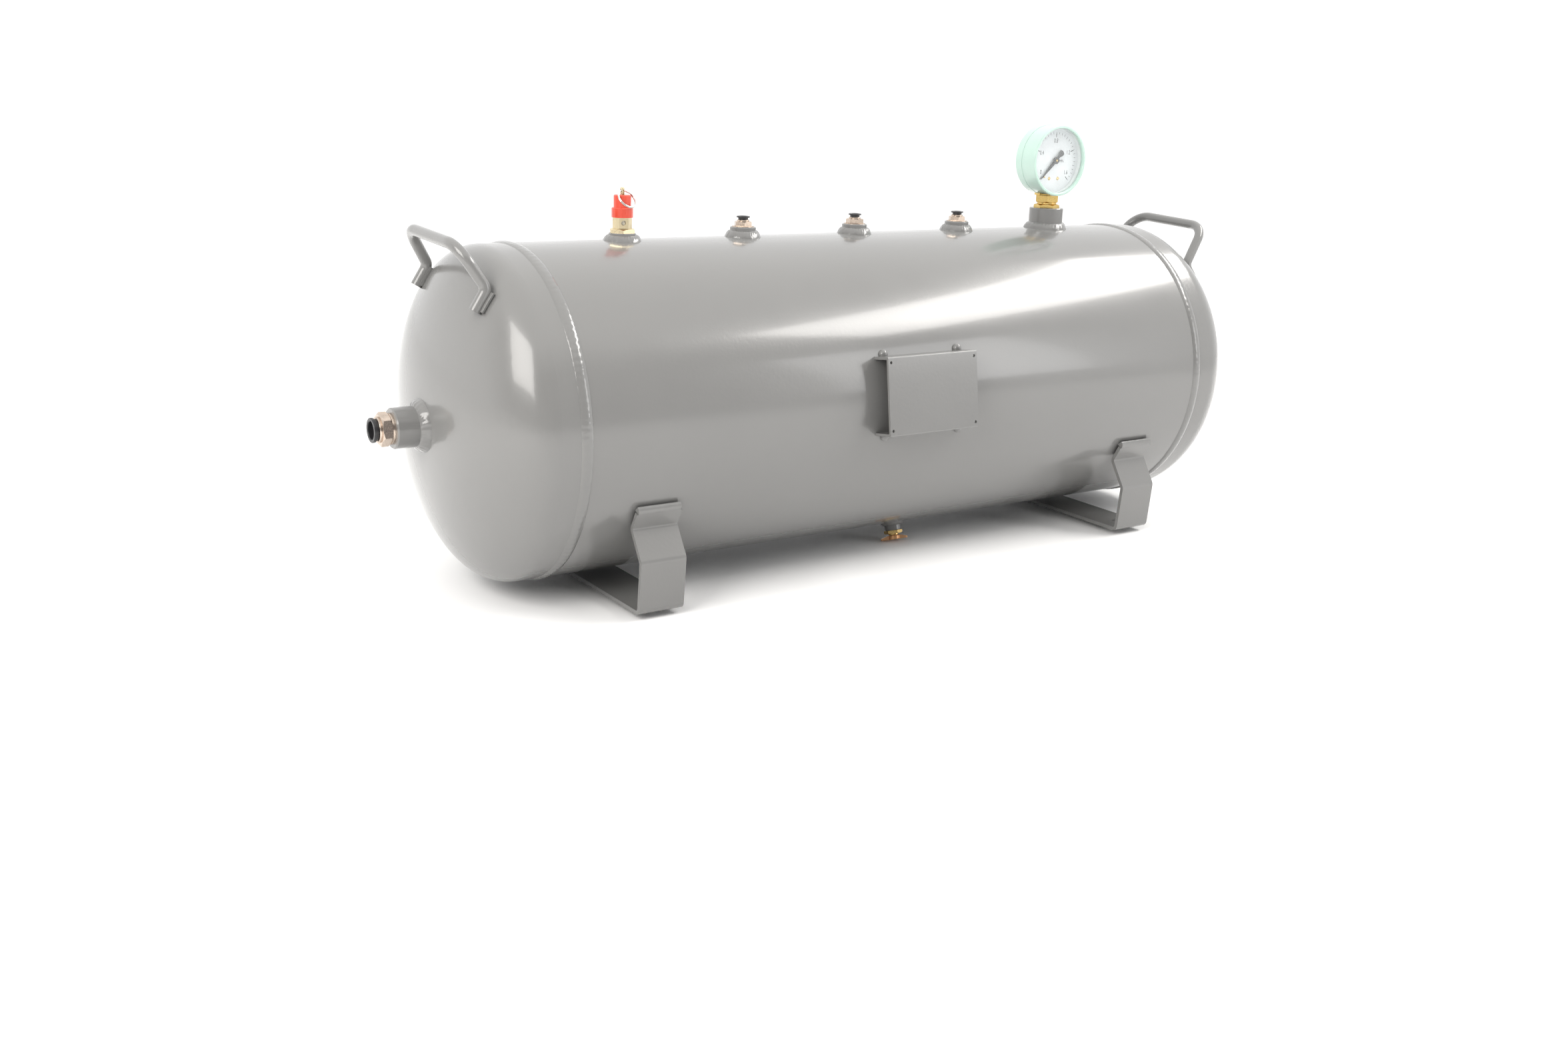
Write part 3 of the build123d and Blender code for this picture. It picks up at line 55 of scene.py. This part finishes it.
# ------------------------------------------------------------------ node helpers
class Net:
    """A small builder for one material's node tree."""

    def __init__(self, name):
        self.mat = bpy.data.materials.new(name)
        self.mat.use_nodes = True
        self.t = self.mat.node_tree
        self.t.nodes.clear()
        self.out = self.t.nodes.new("ShaderNodeOutputMaterial")
        self.p = self.t.nodes.new("ShaderNodeBsdfPrincipled")
        self.t.links.new(self.p.outputs[0], self.out.inputs[0])
        self.co = self.t.nodes.new("ShaderNodeTexCoord").outputs["Object"]
        self.bump_out = None

    def link(self, a, b):
        self.t.links.new(a, b)

    def set(self, **kw):
        for k, v in kw.items():
            self.p.inputs[k.replace("_", " ")].default_value = v
        return self

    def mapped(self, scale=(1, 1, 1), rot=(0, 0, 0), loc=(0, 0, 0)):
        m = self.t.nodes.new("ShaderNodeMapping")
        m.inputs["Scale"].default_value = scale
        m.inputs["Rotation"].default_value = rot
        m.inputs["Location"].default_value = loc
        self.link(self.co, m.inputs[0])
        return m.outputs[0]

    def noise(self, scale, detail=3.0, rough=0.5, vec=None, dist=0.0):
        n = self.t.nodes.new("ShaderNodeTexNoise")
        n.inputs["Scale"].default_value = scale
        n.inputs["Detail"].default_value = detail
        n.inputs["Roughness"].default_value = rough
        n.inputs["Distortion"].default_value = dist
        self.link(vec if vec is not None else self.co, n.inputs["Vector"])
        return n.outputs["Fac"]

    def voronoi(self, scale, vec=None):
        n = self.t.nodes.new("ShaderNodeTexVoronoi")
        n.inputs["Scale"].default_value = scale
        self.link(vec if vec is not None else self.co, n.inputs["Vector"])
        return n.outputs["Distance"]

    def rings(self, scale, centre, axis="Z", dist=0.0):
        """Concentric turning marks round an axis through a point."""
        m = self.t.nodes.new("ShaderNodeVectorMath")
        m.operation = "SUBTRACT"
        m.inputs[1].default_value = centre
        self.link(self.co, m.inputs[0])
        n = self.t.nodes.new("ShaderNodeTexWave")
        n.wave_type = "RINGS"
        n.rings_direction = axis
        n.inputs["Scale"].default_value = scale
        n.inputs["Distortion"].default_value = dist
        n.inputs["Detail"].default_value = 2.0
        self.link(m.outputs[0], n.inputs["Vector"])
        return n.outputs["Fac"]

    def ramp(self, fac, *stops):
        r = self.t.nodes.new("ShaderNodeValToRGB")
        e = r.color_ramp.elements
        while len(e) < len(stops):
            e.new(0.5)
        for el, (pos, col) in zip(e, stops):
            el.position = pos
            el.color = (*col, 1.0) if len(col) == 3 else col
        self.link(fac, r.inputs[0])
        return r.outputs[0]

    def span(self, fac, lo, hi, a=0.3, b=0.7):
        m = self.t.nodes.new("ShaderNodeMapRange")
        m.inputs["From Min"].default_value = a
        m.inputs["From Max"].default_value = b
        m.inputs["To Min"].default_value = lo
        m.inputs["To Max"].default_value = hi
        self.link(fac, m.inputs[0])
        return m.outputs[0]

    def math(self, op, a, b):
        m = self.t.nodes.new("ShaderNodeMath")
        m.operation = op
        for i, v in enumerate((a, b)):
            if isinstance(v, (int, float)):
                m.inputs[i].default_value = v
            else:
                self.link(v, m.inputs[i])
        return m.outputs[0]

    def mix(self, fac, a, b, mode="MIX"):
        m = self.t.nodes.new("ShaderNodeMix")
        m.data_type = "RGBA"
        m.blend_type = mode
        if isinstance(fac, (int, float)):
            m.inputs[0].default_value = fac
        else:
            self.link(fac, m.inputs[0])
        for i, v in ((6, a), (7, b)):
            if isinstance(v, tuple):
                m.inputs[i].default_value = (*v, 1.0)
            else:
                self.link(v, m.inputs[i])
        return m.outputs[2]

    def bump(self, height, distance, strength=1.0):
        b = self.t.nodes.new("ShaderNodeBump")
        b.inputs["Strength"].default_value = strength
        b.inputs["Distance"].default_value = distance
        self.link(height, b.inputs["Height"])
        if self.bump_out is not None:
            self.link(self.bump_out, b.inputs["Normal"])
        self.bump_out = b.outputs[0]
        return self

    def done(self, color=None, rough=None):
        if color is not None:
            self.link(color, self.p.inputs["Base Color"])
        if rough is not None:
            self.link(rough, self.p.inputs["Roughness"])
        if self.bump_out is not None:
            self.link(self.bump_out, self.p.inputs["Normal"])
        return self.mat


def tint(c, k):
    return tuple(min(1.0, max(0.0, v * k)) for v in c)


# ------------------------------------------------------------------ materials
def enamel(name, c, peel=0.00008, rough=(0.205, 0.235), coat=0.42, lump=0.0, seed=0.0):
    """Sprayed gloss enamel: slow shade drift, dust specks, orange peel, a thin clear skin."""
    n = Net(name)
    v = n.mapped(loc=(seed, seed * 0.7, seed * 0.3))
    drift = n.noise(7.0, 3, 0.55, v)
    col = n.ramp(drift, (0.30, tint(c, 0.975)), (0.52, c), (0.74, tint(c, 1.02)))
    speck = n.noise(1500.0, 1, 0.4, v)
    col = n.mix(n.span(speck, 0.0, 0.05, 0.68, 0.76), col, tint(c, 0.72))
    rg = n.math("ADD", n.span(n.noise(28.0, 3, 0.6, v), rough[0], rough[1]), n.span(n.noise(5.0, 2, 0.5, v), -0.02, 0.03))
    if lump:
        n.bump(n.noise(160.0, 2, 0.5, v), lump)
    n.bump(n.noise(420.0, 2, 0.45, v), peel, 0.55)
    n.set(Coat_Weight=coat, Coat_Roughness=0.09, Coat_IOR=1.5, IOR=1.5)
    return n.done(col, rg)


def metal(name, c, rough=(0.20, 0.34), stretch=(1, 1, 1), scratch=0.00002, centre=None, axis="Z", ring_scale=900.0, dark=0.80, fine=700.0):
    """Machined metal: tarnish drift, fine tool marks, and turning rings where a centre is given."""
    n = Net(name)
    drift = n.noise(90.0, 4, 0.6)
    col = n.ramp(drift, (0.28, tint(c, dark)), (0.50, c), (0.72, tint(c, 1.07)))
    tool = n.noise(fine, 3, 0.6, n.mapped(scale=stretch))
    col = n.mix(n.span(tool, 0.0, 0.22, 0.55, 0.8), col, tint(c, 0.70))
    rg = n.math("ADD", n.span(tool, rough[0], rough[1]), n.span(drift, 0.05, -0.03))
    n.bump(tool, scratch, 0.6)
    if centre is not None:
        n.bump(n.rings(ring_scale, centre, axis, 1.2), scratch * 0.8, 0.5)
    n.set(Metallic=1.0, IOR=1.5)
    return n.done(col, rg)


def plastic(name, c, rough=(0.35, 0.5), grain=0.00002, scale=1200.0, coat=0.0, sheen=0.0):
    """Moulded plastic: slight shade drift, fine texture, handling marks in the gloss."""
    n = Net(name)
    drift = n.noise(60.0, 3, 0.5)
    col = n.ramp(drift, (0.30, tint(c, 0.90)), (0.70, tint(c, 1.06)))
    rg = n.span(n.noise(150.0, 4, 0.65), rough[0], rough[1])
    n.bump(n.noise(scale, 2, 0.5), grain, 0.5)
    n.set(Coat_Weight=coat, Coat_Roughness=0.08)
    return n.done(col, rg)


GREY = (0.185, 0.184, 0.179)
M = {}
M["tank_enamel"] = enamel("tank_enamel", GREY)
M["boss_enamel"] = enamel("boss_enamel", tint(GREY, 0.97), peel=0.00006, seed=3.0)
M["weld_enamel"] = enamel("weld_enamel", tint(GREY, 0.98), peel=0.00012, lump=0.00035, rough=(0.14, 0.22), seed=5.0)
M["foot_enamel"] = enamel("foot_enamel", tint(GREY, 0.98), peel=0.00010, seed=8.0)
M["handle_enamel"] = enamel("handle_enamel", tint(GREY, 0.99), peel=0.00008, lump=0.00008, seed=11.0)
M["case_green"] = enamel("case_green", (0.50, 0.68, 0.60), peel=0.00004, rough=(0.14, 0.20), coat=0.7, seed=2.0)
M["cap_red"] = enamel("cap_red", (0.66, 0.060, 0.026), peel=0.00003, rough=(0.20, 0.28), coat=0.5, seed=6.0)
M["nickel_brass"] = metal("nickel_brass", (0.60, 0.495, 0.41), rough=(0.16, 0.30), stretch=(1, 1, 6))
M["nickel_inlet"] = metal("nickel_inlet", (0.60, 0.50, 0.42), rough=(0.16, 0.30), stretch=(6, 1, 1), centre=(-0.38, 0, AXIS_Z - DROP), axis="X")
M["pale_brass"] = metal("pale_brass", (0.76, 0.65, 0.43), rough=(0.22, 0.38), stretch=(1, 1, 8))
M["gold_brass"] = metal("gold_brass", (0.70, 0.50, 0.18), rough=(0.18, 0.32), stretch=(1, 1, 7))
M["yellow_brass"] = metal("yellow_brass", (0.68, 0.49, 0.20), rough=(0.20, 0.34), stretch=(1, 1, 7))
M["copper_wing"] = metal("copper_wing", (0.58, 0.33, 0.17), rough=(0.30, 0.46), scratch=0.00004)
M["spring_steel"] = metal("spring_steel", (0.62, 0.61, 0.59), rough=(0.18, 0.30))
M["ring_steel"] = metal("ring_steel", (0.72, 0.70, 0.67), rough=(0.10, 0.22), scratch=0.00001)
M["movement_brass"] = metal("movement_brass", (0.78, 0.60, 0.30), rough=(0.22, 0.36))
M["collar_black"] = plastic("collar_black", (0.022, 0.022, 0.024), rough=(0.30, 0.44), coat=0.1)
M["seal_rubber"] = plastic("seal_rubber", (0.018, 0.018, 0.018), rough=(0.55, 0.75), grain=0.00004)
M["poppet_white"] = plastic("poppet_white", (0.82, 0.82, 0.79), rough=(0.35, 0.50))
M["spacer_white"] = plastic("spacer_white", (0.72, 0.76, 0.76), rough=(0.40, 0.55))
M["pointer_black"] = plastic("pointer_black", (0.012, 0.012, 0.013), rough=(0.28, 0.40), coat=0.2)
M["ink_black"] = plastic("ink_black", (0.02, 0.02, 0.022), rough=(0.50, 0.65))
M["ink_grey"] = plastic("ink_grey", (0.035, 0.038, 0.042), rough=(0.50, 0.65))
M["dial_white"] = plastic("dial_white", (0.74, 0.77, 0.79), rough=(0.38, 0.52), grain=0.00001)


def lens():
    n = Net("lens_clear")
    smear = n.noise(120.0, 4, 0.7)
    n.link(n.span(smear, 0.06, 0.12), n.p.inputs["Alpha"])
    n.set(Base_Color=(0.92, 0.96, 0.96, 1.0), IOR=1.5, Coat_Weight=0.0)
    return n.done(None, n.span(smear, 0.02, 0.06))


M["lens_clear"] = lens()

FINISH = {
    "shell": "tank_enamel", "left_head": "tank_enamel", "right_head": "tank_enamel",
    "valve_boss": "boss_enamel", "outlet_bosses": "boss_enamel", "gauge_boss": "boss_enamel", "inlet_boss": "boss_enamel", "drain_boss": "boss_enamel",
    "girth_welds": "weld_enamel", "boss_welds": "weld_enamel", "inlet_weld": "weld_enamel", "foot_welds": "weld_enamel", "handle_welds": "weld_enamel", "bracket_welds": "weld_enamel",
    "foot_left": "foot_enamel", "foot_right": "foot_enamel", "nameplate_bracket": "foot_enamel",
    "handle_left": "handle_enamel", "handle_right": "handle_enamel",
    "outlet_fitting_bodies": "nickel_brass", "inlet_fitting_body": "nickel_inlet",
    "tube_grab_rings": "spring_steel", "inlet_grab_ring": "spring_steel", "tube_seals": "seal_rubber", "inlet_tube_seal": "seal_rubber",
    "release_collar_1": "collar_black", "release_collar_2": "collar_black", "release_collar_3": "collar_black", "inlet_release_collar": "collar_black",
    "valve_body": "pale_brass", "valve_cap": "cap_red", "valve_stem": "pale_brass", "valve_poppet": "poppet_white", "valve_seal": "seal_rubber", "valve_spring": "spring_steel", "pull_ring": "ring_steel",
    "gauge_bushing": "gold_brass", "gauge_seal_washer": "gold_brass", "gauge_socket": "gold_brass",
    "gauge_case": "case_green", "gauge_bezel": "case_green", "gauge_lens": "lens_clear", "gauge_spacer": "spacer_white", "gauge_dial": "dial_white",
    "dial_screws": "yellow_brass", "zero_stop_pin": "yellow_brass", "gauge_pointer": "pointer_black", "pointer_shaft": "movement_brass",
    "sector_gear": "movement_brass", "gauge_link": "movement_brass", "movement_frame": "movement_brass", "bourdon_tube": "movement_brass",
    "drain_body": "yellow_brass", "drain_seat": "seal_rubber", "drain_wing": "copper_wing",
}
for node, name in FINISH.items():
    data = NODES[node].data
    if not data.materials:
        data.materials.append(M[name])
    for i in range(len(data.materials)):
        data.materials[i] = M[name]


# ------------------------------------------------------------------ mesh helpers
def piece(name, verts, faces, material, body, slot, smooth=True, replaces=()):
    me = bpy.data.meshes.new(name)
    me.from_pydata([tuple(v) for v in verts], [], faces)
    me.validate()
    me.update()
    if smooth:
        me.polygons.foreach_set("use_smooth", [True] * len(me.polygons))
    ob = bpy.data.objects.new(name, me)
    bpy.context.scene.collection.objects.link(ob)
    me.materials.append(M[material])
    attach(ob, body)
    if replaces:
        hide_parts(*replaces)
    return ob


def grid_faces(nu, nv, close_u=True, close_v=False, base=0):
    """Quads over an nu by nv net of points, u fastest."""
    out = []
    for j in range(nv if close_v else nv - 1):
        for i in range(nu if close_u else nu - 1):
            a = base + j * nu + i
            b = base + j * nu + (i + 1) % nu
            c = base + ((j + 1) % nv) * nu + (i + 1) % nu
            d = base + ((j + 1) % nv) * nu + i
            out.append((a, b, c, d))
    return out


def tube(points, radius, sides=12, closed=False, taper_ends=False):
    """A round wire along points: verts and faces, ends capped."""
    verts, faces = [], []
    n = len(points)
    prev = None
    for i, p in enumerate(points):
        a = points[(i - 1) % n] if closed else points[max(i - 1, 0)]
        b = points[(i + 1) % n] if closed else points[min(i + 1, n - 1)]
        t = (b - a).normalized()
        if prev is None:
            up = Vector((0, 0, 1)) if abs(t.z) < 0.9 else Vector((1, 0, 0))
            x = t.cross(up).normalized()
        else:
            x = (prev - t * prev.dot(t)).normalized()
        prev = x
        y = t.cross(x)
        r = radius
        if taper_ends and not closed and (i == 0 or i == n - 1):
            r = radius * 0.7
        for k in range(sides):
            w = 2 * math.pi * k / sides
            verts.append(p + x * (r * math.cos(w)) + y * (r * math.sin(w)))
    faces += grid_faces(sides, n, True, closed)
    if not closed:
        faces.append(tuple(range(sides - 1, -1, -1)))
        faces.append(tuple(range((n - 1) * sides, n * sides)))
    return verts, faces


# ------------------------------------------------------------------ weld beads, with the ripples a welder leaves
def fbm(x, y, z, seed):
    return noise.noise(Vector((x + seed, y - seed, z))) + 0.5 * noise.noise(Vector((2 * x - seed, 2 * y, 2 * z + seed)))


def boss_bead(cx, r_in, leg, high, top=True, seed=0.0):
    """Fillet bead round a boss on the shell: each ring of points drops to the tank's own surface."""
    nu, nv = 160, 9
    verts = []
    s = 1 if top else -1
    for j in range(nv):
        f = j / (nv - 1)
        for i in range(nu):
            th = 2 * math.pi * i / nu
            edge = leg * (1 + 0.10 * fbm(3 * math.cos(th), 3 * math.sin(th), 0, seed))
            r = r_in - 0.0002 + (edge + 0.0002) * f
            x, y = r * math.cos(th), r * math.sin(th)
            ground = math.sqrt(max(R_TANK ** 2 - y * y, 0))
            rise = high * (1 - f ** 1.9)
            ripple = 0.00016 * math.sin(math.pi * min(1, f * 1.15)) * math.sin(th * 34 + 5 * f + 1.7 * fbm(2 * math.cos(th), 2 * math.sin(th), 1, seed))
            lump = 0.00035 * math.sin(math.pi * f) * fbm(4 * math.cos(th), 4 * math.sin(th), f * 2, seed + 4)
            verts.append(Vector((cx + x, y, AXIS_Z + s * (ground + rise + ripple + lump - (0.00025 if j == nv - 1 else 0)))))
    faces = grid_faces(nu, nv)
    if top:
        faces = [tuple(reversed(q)) for q in faces]
    return verts, faces


def merge(parts):
    verts, faces = [], []
    for v, f in parts:
        k = len(verts)
        verts += v
        faces += [tuple(i + k for i in q) for q in f]
    return verts, faces


beads = [boss_bead(x, r, leg, high, True, 1.3 * k) for k, (x, r, leg, high) in enumerate(X_BOSSES)]
lean = Matrix.Rotation(math.radians(-18.0), 3, "X")
pivot = Vector((0.0, 0.0, AXIS_Z))
verts, faces = boss_bead(0.0323, 0.0066, 0.0030, 0.0024, False, 9.1)
beads.append(([lean @ (v - pivot) + pivot for v in verts], faces))
piece("boss_weld_beads", *merge(beads), "weld_enamel", "tank", "weld_enamel", replaces=("boss_welds",))


def girth_bead(xc, seed):
    """Crowned butt weld round the tank: overlapping ripples across the bead, uneven edges."""
    nu, nv = 720, 11
    verts = []
    for j in range(nv):
        f = -1 + 2 * j / (nv - 1)
        for i in range(nu):
            th = 2 * math.pi * i / nu
            c, s = math.cos(th), math.sin(th)
            half = 0.0046 * (1 + 0.035 * fbm(9 * c, 9 * s, 0, seed))
            crown = 0.00125 * (1 - f * f)
            ripple = 0.00007 * (1 - f * f) * math.sin(th * 150 + 1.3 * f * f + 1.5 * fbm(5 * c, 5 * s, 2, seed))
            r = R_TANK + crown + ripple - (0.0003 if abs(f) > 0.99 else 0.0)
            verts.append(Vector((xc + f * half, r * c, AXIS_Z + r * s)))
    return verts, [tuple(reversed(q)) for q in grid_faces(nu, nv)]


piece("girth_weld_beads", *merge([girth_bead(-X_GIRTH, 2.0), girth_bead(X_GIRTH, 7.0)]), "weld_enamel", "tank", "weld_enamel", replaces=("girth_welds",))


def inlet_bead(seed=4.0):
    """Heavier, lumpy bead where the inlet boss meets the crown of the left head."""
    apex = 0.3568
    r0, leg = 0.0144, 0.0048
    nu, nv = 160, 10
    verts = []
    for j in range(nv):
        f = j / (nv - 1)
        for i in range(nu):
            th = 2 * math.pi * i / nu
            c, s = math.cos(th), math.sin(th)
            edge = leg * (1 + 0.16 * fbm(2.5 * c, 2.5 * s, 0, seed))
            r = r0 - 0.0002 + (edge + 0.0002) * f
            ground = 0.3058 + 0.051 * math.sqrt(max(1 - (math.hypot(r * c, r * s - DROP) / 0.120) ** 2, 0))
            rise = 0.0058 * (1 - f ** 1.7)
            ripple = 0.00022 * math.sin(math.pi * min(1, f * 1.1)) * math.sin(th * 26 + 4 * f + 1.5 * fbm(2 * c, 2 * s, 1, seed))
            lump = 0.0007 * math.sin(math.pi * f) * fbm(3 * c, 3 * s, f, seed + 2)
            d = ground + rise + ripple + lump - (0.0003 if j == nv - 1 else 0)
            verts.append(Vector((-d, r * c, AXIS_Z - DROP + r * s)))
    return verts, grid_faces(nu, nv)


piece("inlet_weld_bead", *inlet_bead(), "weld_enamel", "tank", "weld_enamel", replaces=("inlet_weld",))

# ------------------------------------------------------------------ dial: printed scale and numerals
W_DIAL = 0.0060


def on_dial(u, v, w):
    return GAUGE + DU * u + DV * v + DW * w


def bar(r0, r1, ang, width, w0=W_DIAL + 0.000005, w1=W_DIAL + 0.00004):
    c, s = math.cos(ang), math.sin(ang)
    pts = []
    for w in (w0, w1):
        for r, t in ((r0, -width / 2), (r1, -width / 2), (r1, width / 2), (r0, width / 2)):
            pts.append(on_dial(r * c - t * s, r * s + t * c, w))
    return pts, [(3, 2, 1, 0), (4, 5, 6, 7), (0, 1, 5, 4), (1, 2, 6, 5), (2, 3, 7, 6), (3, 0, 4, 7)]


minor, major = [], []
for k in range(33):
    ang = math.radians(225 - 270 * k / 32)
    if k % 8 == 0:
        minor.append(bar(0.0221, 0.0238, ang, 0.00030))
        major.append(bar(0.0193, 0.0223, ang, 0.00062))
    else:
        minor.append(bar(0.0214 if k % 4 == 0 else 0.0218, 0.0238, ang, 0.00032))
piece("dial_minor_marks", *merge(minor), "ink_grey", "tank", "dial_white", smooth=False)
piece("dial_major_marks", *merge(major), "ink_black", "tank", "dial_white", smooth=False)


def numeral(text, u, v, size, name, width=0.78, material="ink_grey"):
    cu = bpy.data.curves.new(name, "FONT")
    cu.body = text
    cu.size = size
    cu.align_x = "CENTER"
    cu.align_y = "CENTER"
    cu.extrude = 0.00002
    tmp = bpy.data.objects.new(name + "_tmp", cu)
    bpy.context.scene.collection.objects.link(tmp)
    bpy.context.view_layer.update()
    me = bpy.data.meshes.new_from_object(tmp)
    bpy.data.objects.remove(tmp)
    for p in me.vertices:
        q = on_dial(u + p.co.x * width, v + p.co.y, W_DIAL + 0.000025 + p.co.z)
        p.co = q
    me.name = name
    ob = bpy.data.objects.new(name, me)
    bpy.context.scene.collection.objects.link(ob)
    me.materials.clear()
    me.materials.append(M[material])
    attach(ob, "tank")
    return ob


for text, u, v in (("0", -0.0150, -0.0098), ("0.4", -0.0153, 0.0062), ("0.8", 0.0, 0.0163), ("1.2", 0.0150, 0.0066), ("1.6", 0.0137, -0.0102)):
    numeral(text, u, v, 0.0050, "dial_number_" + text.replace(".", "_"))
numeral("MPa", 0.0078, -0.0006, 0.0034, "dial_unit", 0.85)

# a small brass boss in the middle of the pointer's hub
hub = []
for j in range(6):
    f = j / 5
    for i in range(32):
        th = 2 * math.pi * i / 32
        r = 0.00095 * math.cos(f * math.pi / 2 * 0.98)
        hub.append(on_dial(r * math.cos(th), r * math.sin(th), 0.0089 + 0.00035 * math.sin(f * math.pi / 2)))
hub_ob = piece("pointer_hub_pin", hub, grid_faces(32, 6) + [tuple(range(5 * 32, 6 * 32))], "yellow_brass", "pointer_set", "yellow_brass")

# ------------------------------------------------------------------ pull ring: a split ring of two turns
E = Vector((0.309, -0.951, 0.0))
P = Vector((0.951, 0.309, 0.0))
R_RING = 0.0073
HANG = math.radians(50.0)
D_RING = (E * math.cos(HANG) - Vector((0, 0, 1)) * math.sin(HANG)).normalized()
N_RING = P.cross(D_RING).normalized()
H_RING = Vector((-0.200, 0.0, AXIS_Z + 0.155))
C_RING = H_RING + D_RING * R_RING
pts = []
STEPS, TURNS, START = 300, 1.93, math.radians(150)
for i in range(STEPS + 1):
    t = TURNS * i / STEPS
    k = min(max((t - 0.88) / 0.16, 0.0), 1.0)
    side = -0.40 + 0.80 * (k * k * (3 - 2 * k))
    a = START + 2 * math.pi * t
    pts.append(C_RING + (D_RING * math.cos(a) + P * math.sin(a)) * R_RING + N_RING * (side * MM))
piece("pull_ring_wire", *tube(pts, 0.00040, 12, taper_ends=True), "ring_steel", "ring", "ring_steel", replaces=("pull_ring",))

# ------------------------------------------------------------------ floor, camera, light
FLOOR_Z = -0.0042
me = bpy.data.meshes.new("floor")
me.from_pydata([(-9, -7, FLOOR_Z), (11, -7, FLOOR_Z), (11, 13, FLOOR_Z), (-9, 13, FLOOR_Z)], [], [(0, 1, 2, 3)])
floor = bpy.data.objects.new("floor", me)
bpy.context.scene.collection.objects.link(floor)
n = Net("floor_pale")
col = n.ramp(n.noise(3.0, 3, 0.5), (0.3, (0.93, 0.93, 0.93)), (0.7, (0.94, 0.94, 0.94)))
n.set(Specular_IOR_Level=0.2)
me.materials.append(n.done(col, n.span(n.noise(20.0, 3, 0.5), 0.75, 0.9)))

cam_data = bpy.data.cameras.new("camera")
cam = bpy.data.objects.new("camera", cam_data)
bpy.context.scene.collection.objects.link(cam)
cam_data.sensor_width = 36.0
cam_data.sensor_fit = "HORIZONTAL"
cam_data.lens = 35.73
cam_data.shift_x, cam_data.shift_y = 0.00047, -0.0011
cam_data.clip_start = 0.02
cam_data.clip_end = 60.0
YAW, PITCH, ROLL = math.radians(34.01), math.radians(15.68), math.radians(1.844)
look = Vector((math.sin(YAW) * math.cos(PITCH), math.cos(YAW) * math.cos(PITCH), -math.sin(PITCH)))
right = Vector((math.cos(YAW), -math.sin(YAW), 0.0))
up = right.cross(look)
right2 = right * math.cos(ROLL) + up * math.sin(ROLL)
up2 = -right * math.sin(ROLL) + up * math.cos(ROLL)
rot = Matrix((right2, up2, -look)).transposed()
cam.matrix_world = Matrix.Translation(Vector((-0.7365, -1.0158, 0.3581))) @ rot.to_4x4()
bpy.context.scene.camera = cam


def softbox(name, at, aim, size, power, color=(1, 1, 1)):
    d = bpy.data.lights.new(name, "AREA")
    d.shape = "RECTANGLE"
    d.size, d.size_y = size
    d.energy = power
    d.color = color
    o = bpy.data.objects.new(name, d)
    bpy.context.scene.collection.objects.link(o)
    o.location = at
    o.rotation_euler = (Vector(aim) - Vector(at)).to_track_quat("-Z", "Y").to_euler()
    return o


softbox("key", (-1.45, -0.55, 0.95), (-0.2, 0, 0.15), (0.9, 0.9), 20, (1.0, 0.975, 0.94))
softbox("strip", (1.25, -0.45, 1.35), (0.2, 0, 0.1), (1.5, 0.36), 19, (1.0, 0.975, 0.94))
softbox("front", (1.3, -1.6, 0.7), (0.1, 0, 0.12), (0.5, 0.9), 5)

world = bpy.data.worlds.new("studio")
bpy.context.scene.world = world
world.use_nodes = True
wt = world.node_tree
wt.nodes.clear()
wo = wt.nodes.new("ShaderNodeOutputWorld")
bg = wt.nodes.new("ShaderNodeBackground")
# bright behind the part and overhead, a dark studio on the photographer's side
tc = wt.nodes.new("ShaderNodeTexCoord")
dot = wt.nodes.new("ShaderNodeVectorMath")
dot.operation = "DOT_PRODUCT"
dot.inputs[1].default_value = (-0.53, -0.80, 0.28)
wt.links.new(tc.outputs["Generated"], dot.inputs[0])
ramp = wt.nodes.new("ShaderNodeValToRGB")
ramp.color_ramp.interpolation = "EASE"
e = ramp.color_ramp.elements
e[0].position, e[0].color = 0.10, (1.0, 1.0, 1.0, 1.0)
e[1].position, e[1].color = 0.62, (0.17, 0.17, 0.18, 1.0)
wt.links.new(dot.outputs["Value"], ramp.inputs[0])
sep = wt.nodes.new("ShaderNodeSeparateXYZ")
wt.links.new(tc.outputs["Generated"], sep.inputs[0])
high = wt.nodes.new("ShaderNodeValToRGB")
high.color_ramp.interpolation = "EASE"
e = high.color_ramp.elements
e[0].position, e[0].color = 0.50, (0.0, 0.0, 0.0, 1.0)
e[1].position, e[1].color = 0.85, (1.0, 1.0, 1.0, 1.0)
wt.links.new(sep.outputs[2], high.inputs[0])
mix = wt.nodes.new("ShaderNodeMix")
mix.data_type = "RGBA"
mix.inputs[7].default_value = (1.22, 1.21, 1.19, 1.0)
wt.links.new(high.outputs[0], mix.inputs[0])
wt.links.new(ramp.outputs[0], mix.inputs[6])
wt.links.new(mix.outputs[2], bg.inputs["Color"])
bg.inputs["Strength"].default_value = 1.25
wt.links.new(bg.outputs[0], wo.inputs[0])
bpy.context.scene.view_settings.view_transform = "Standard"
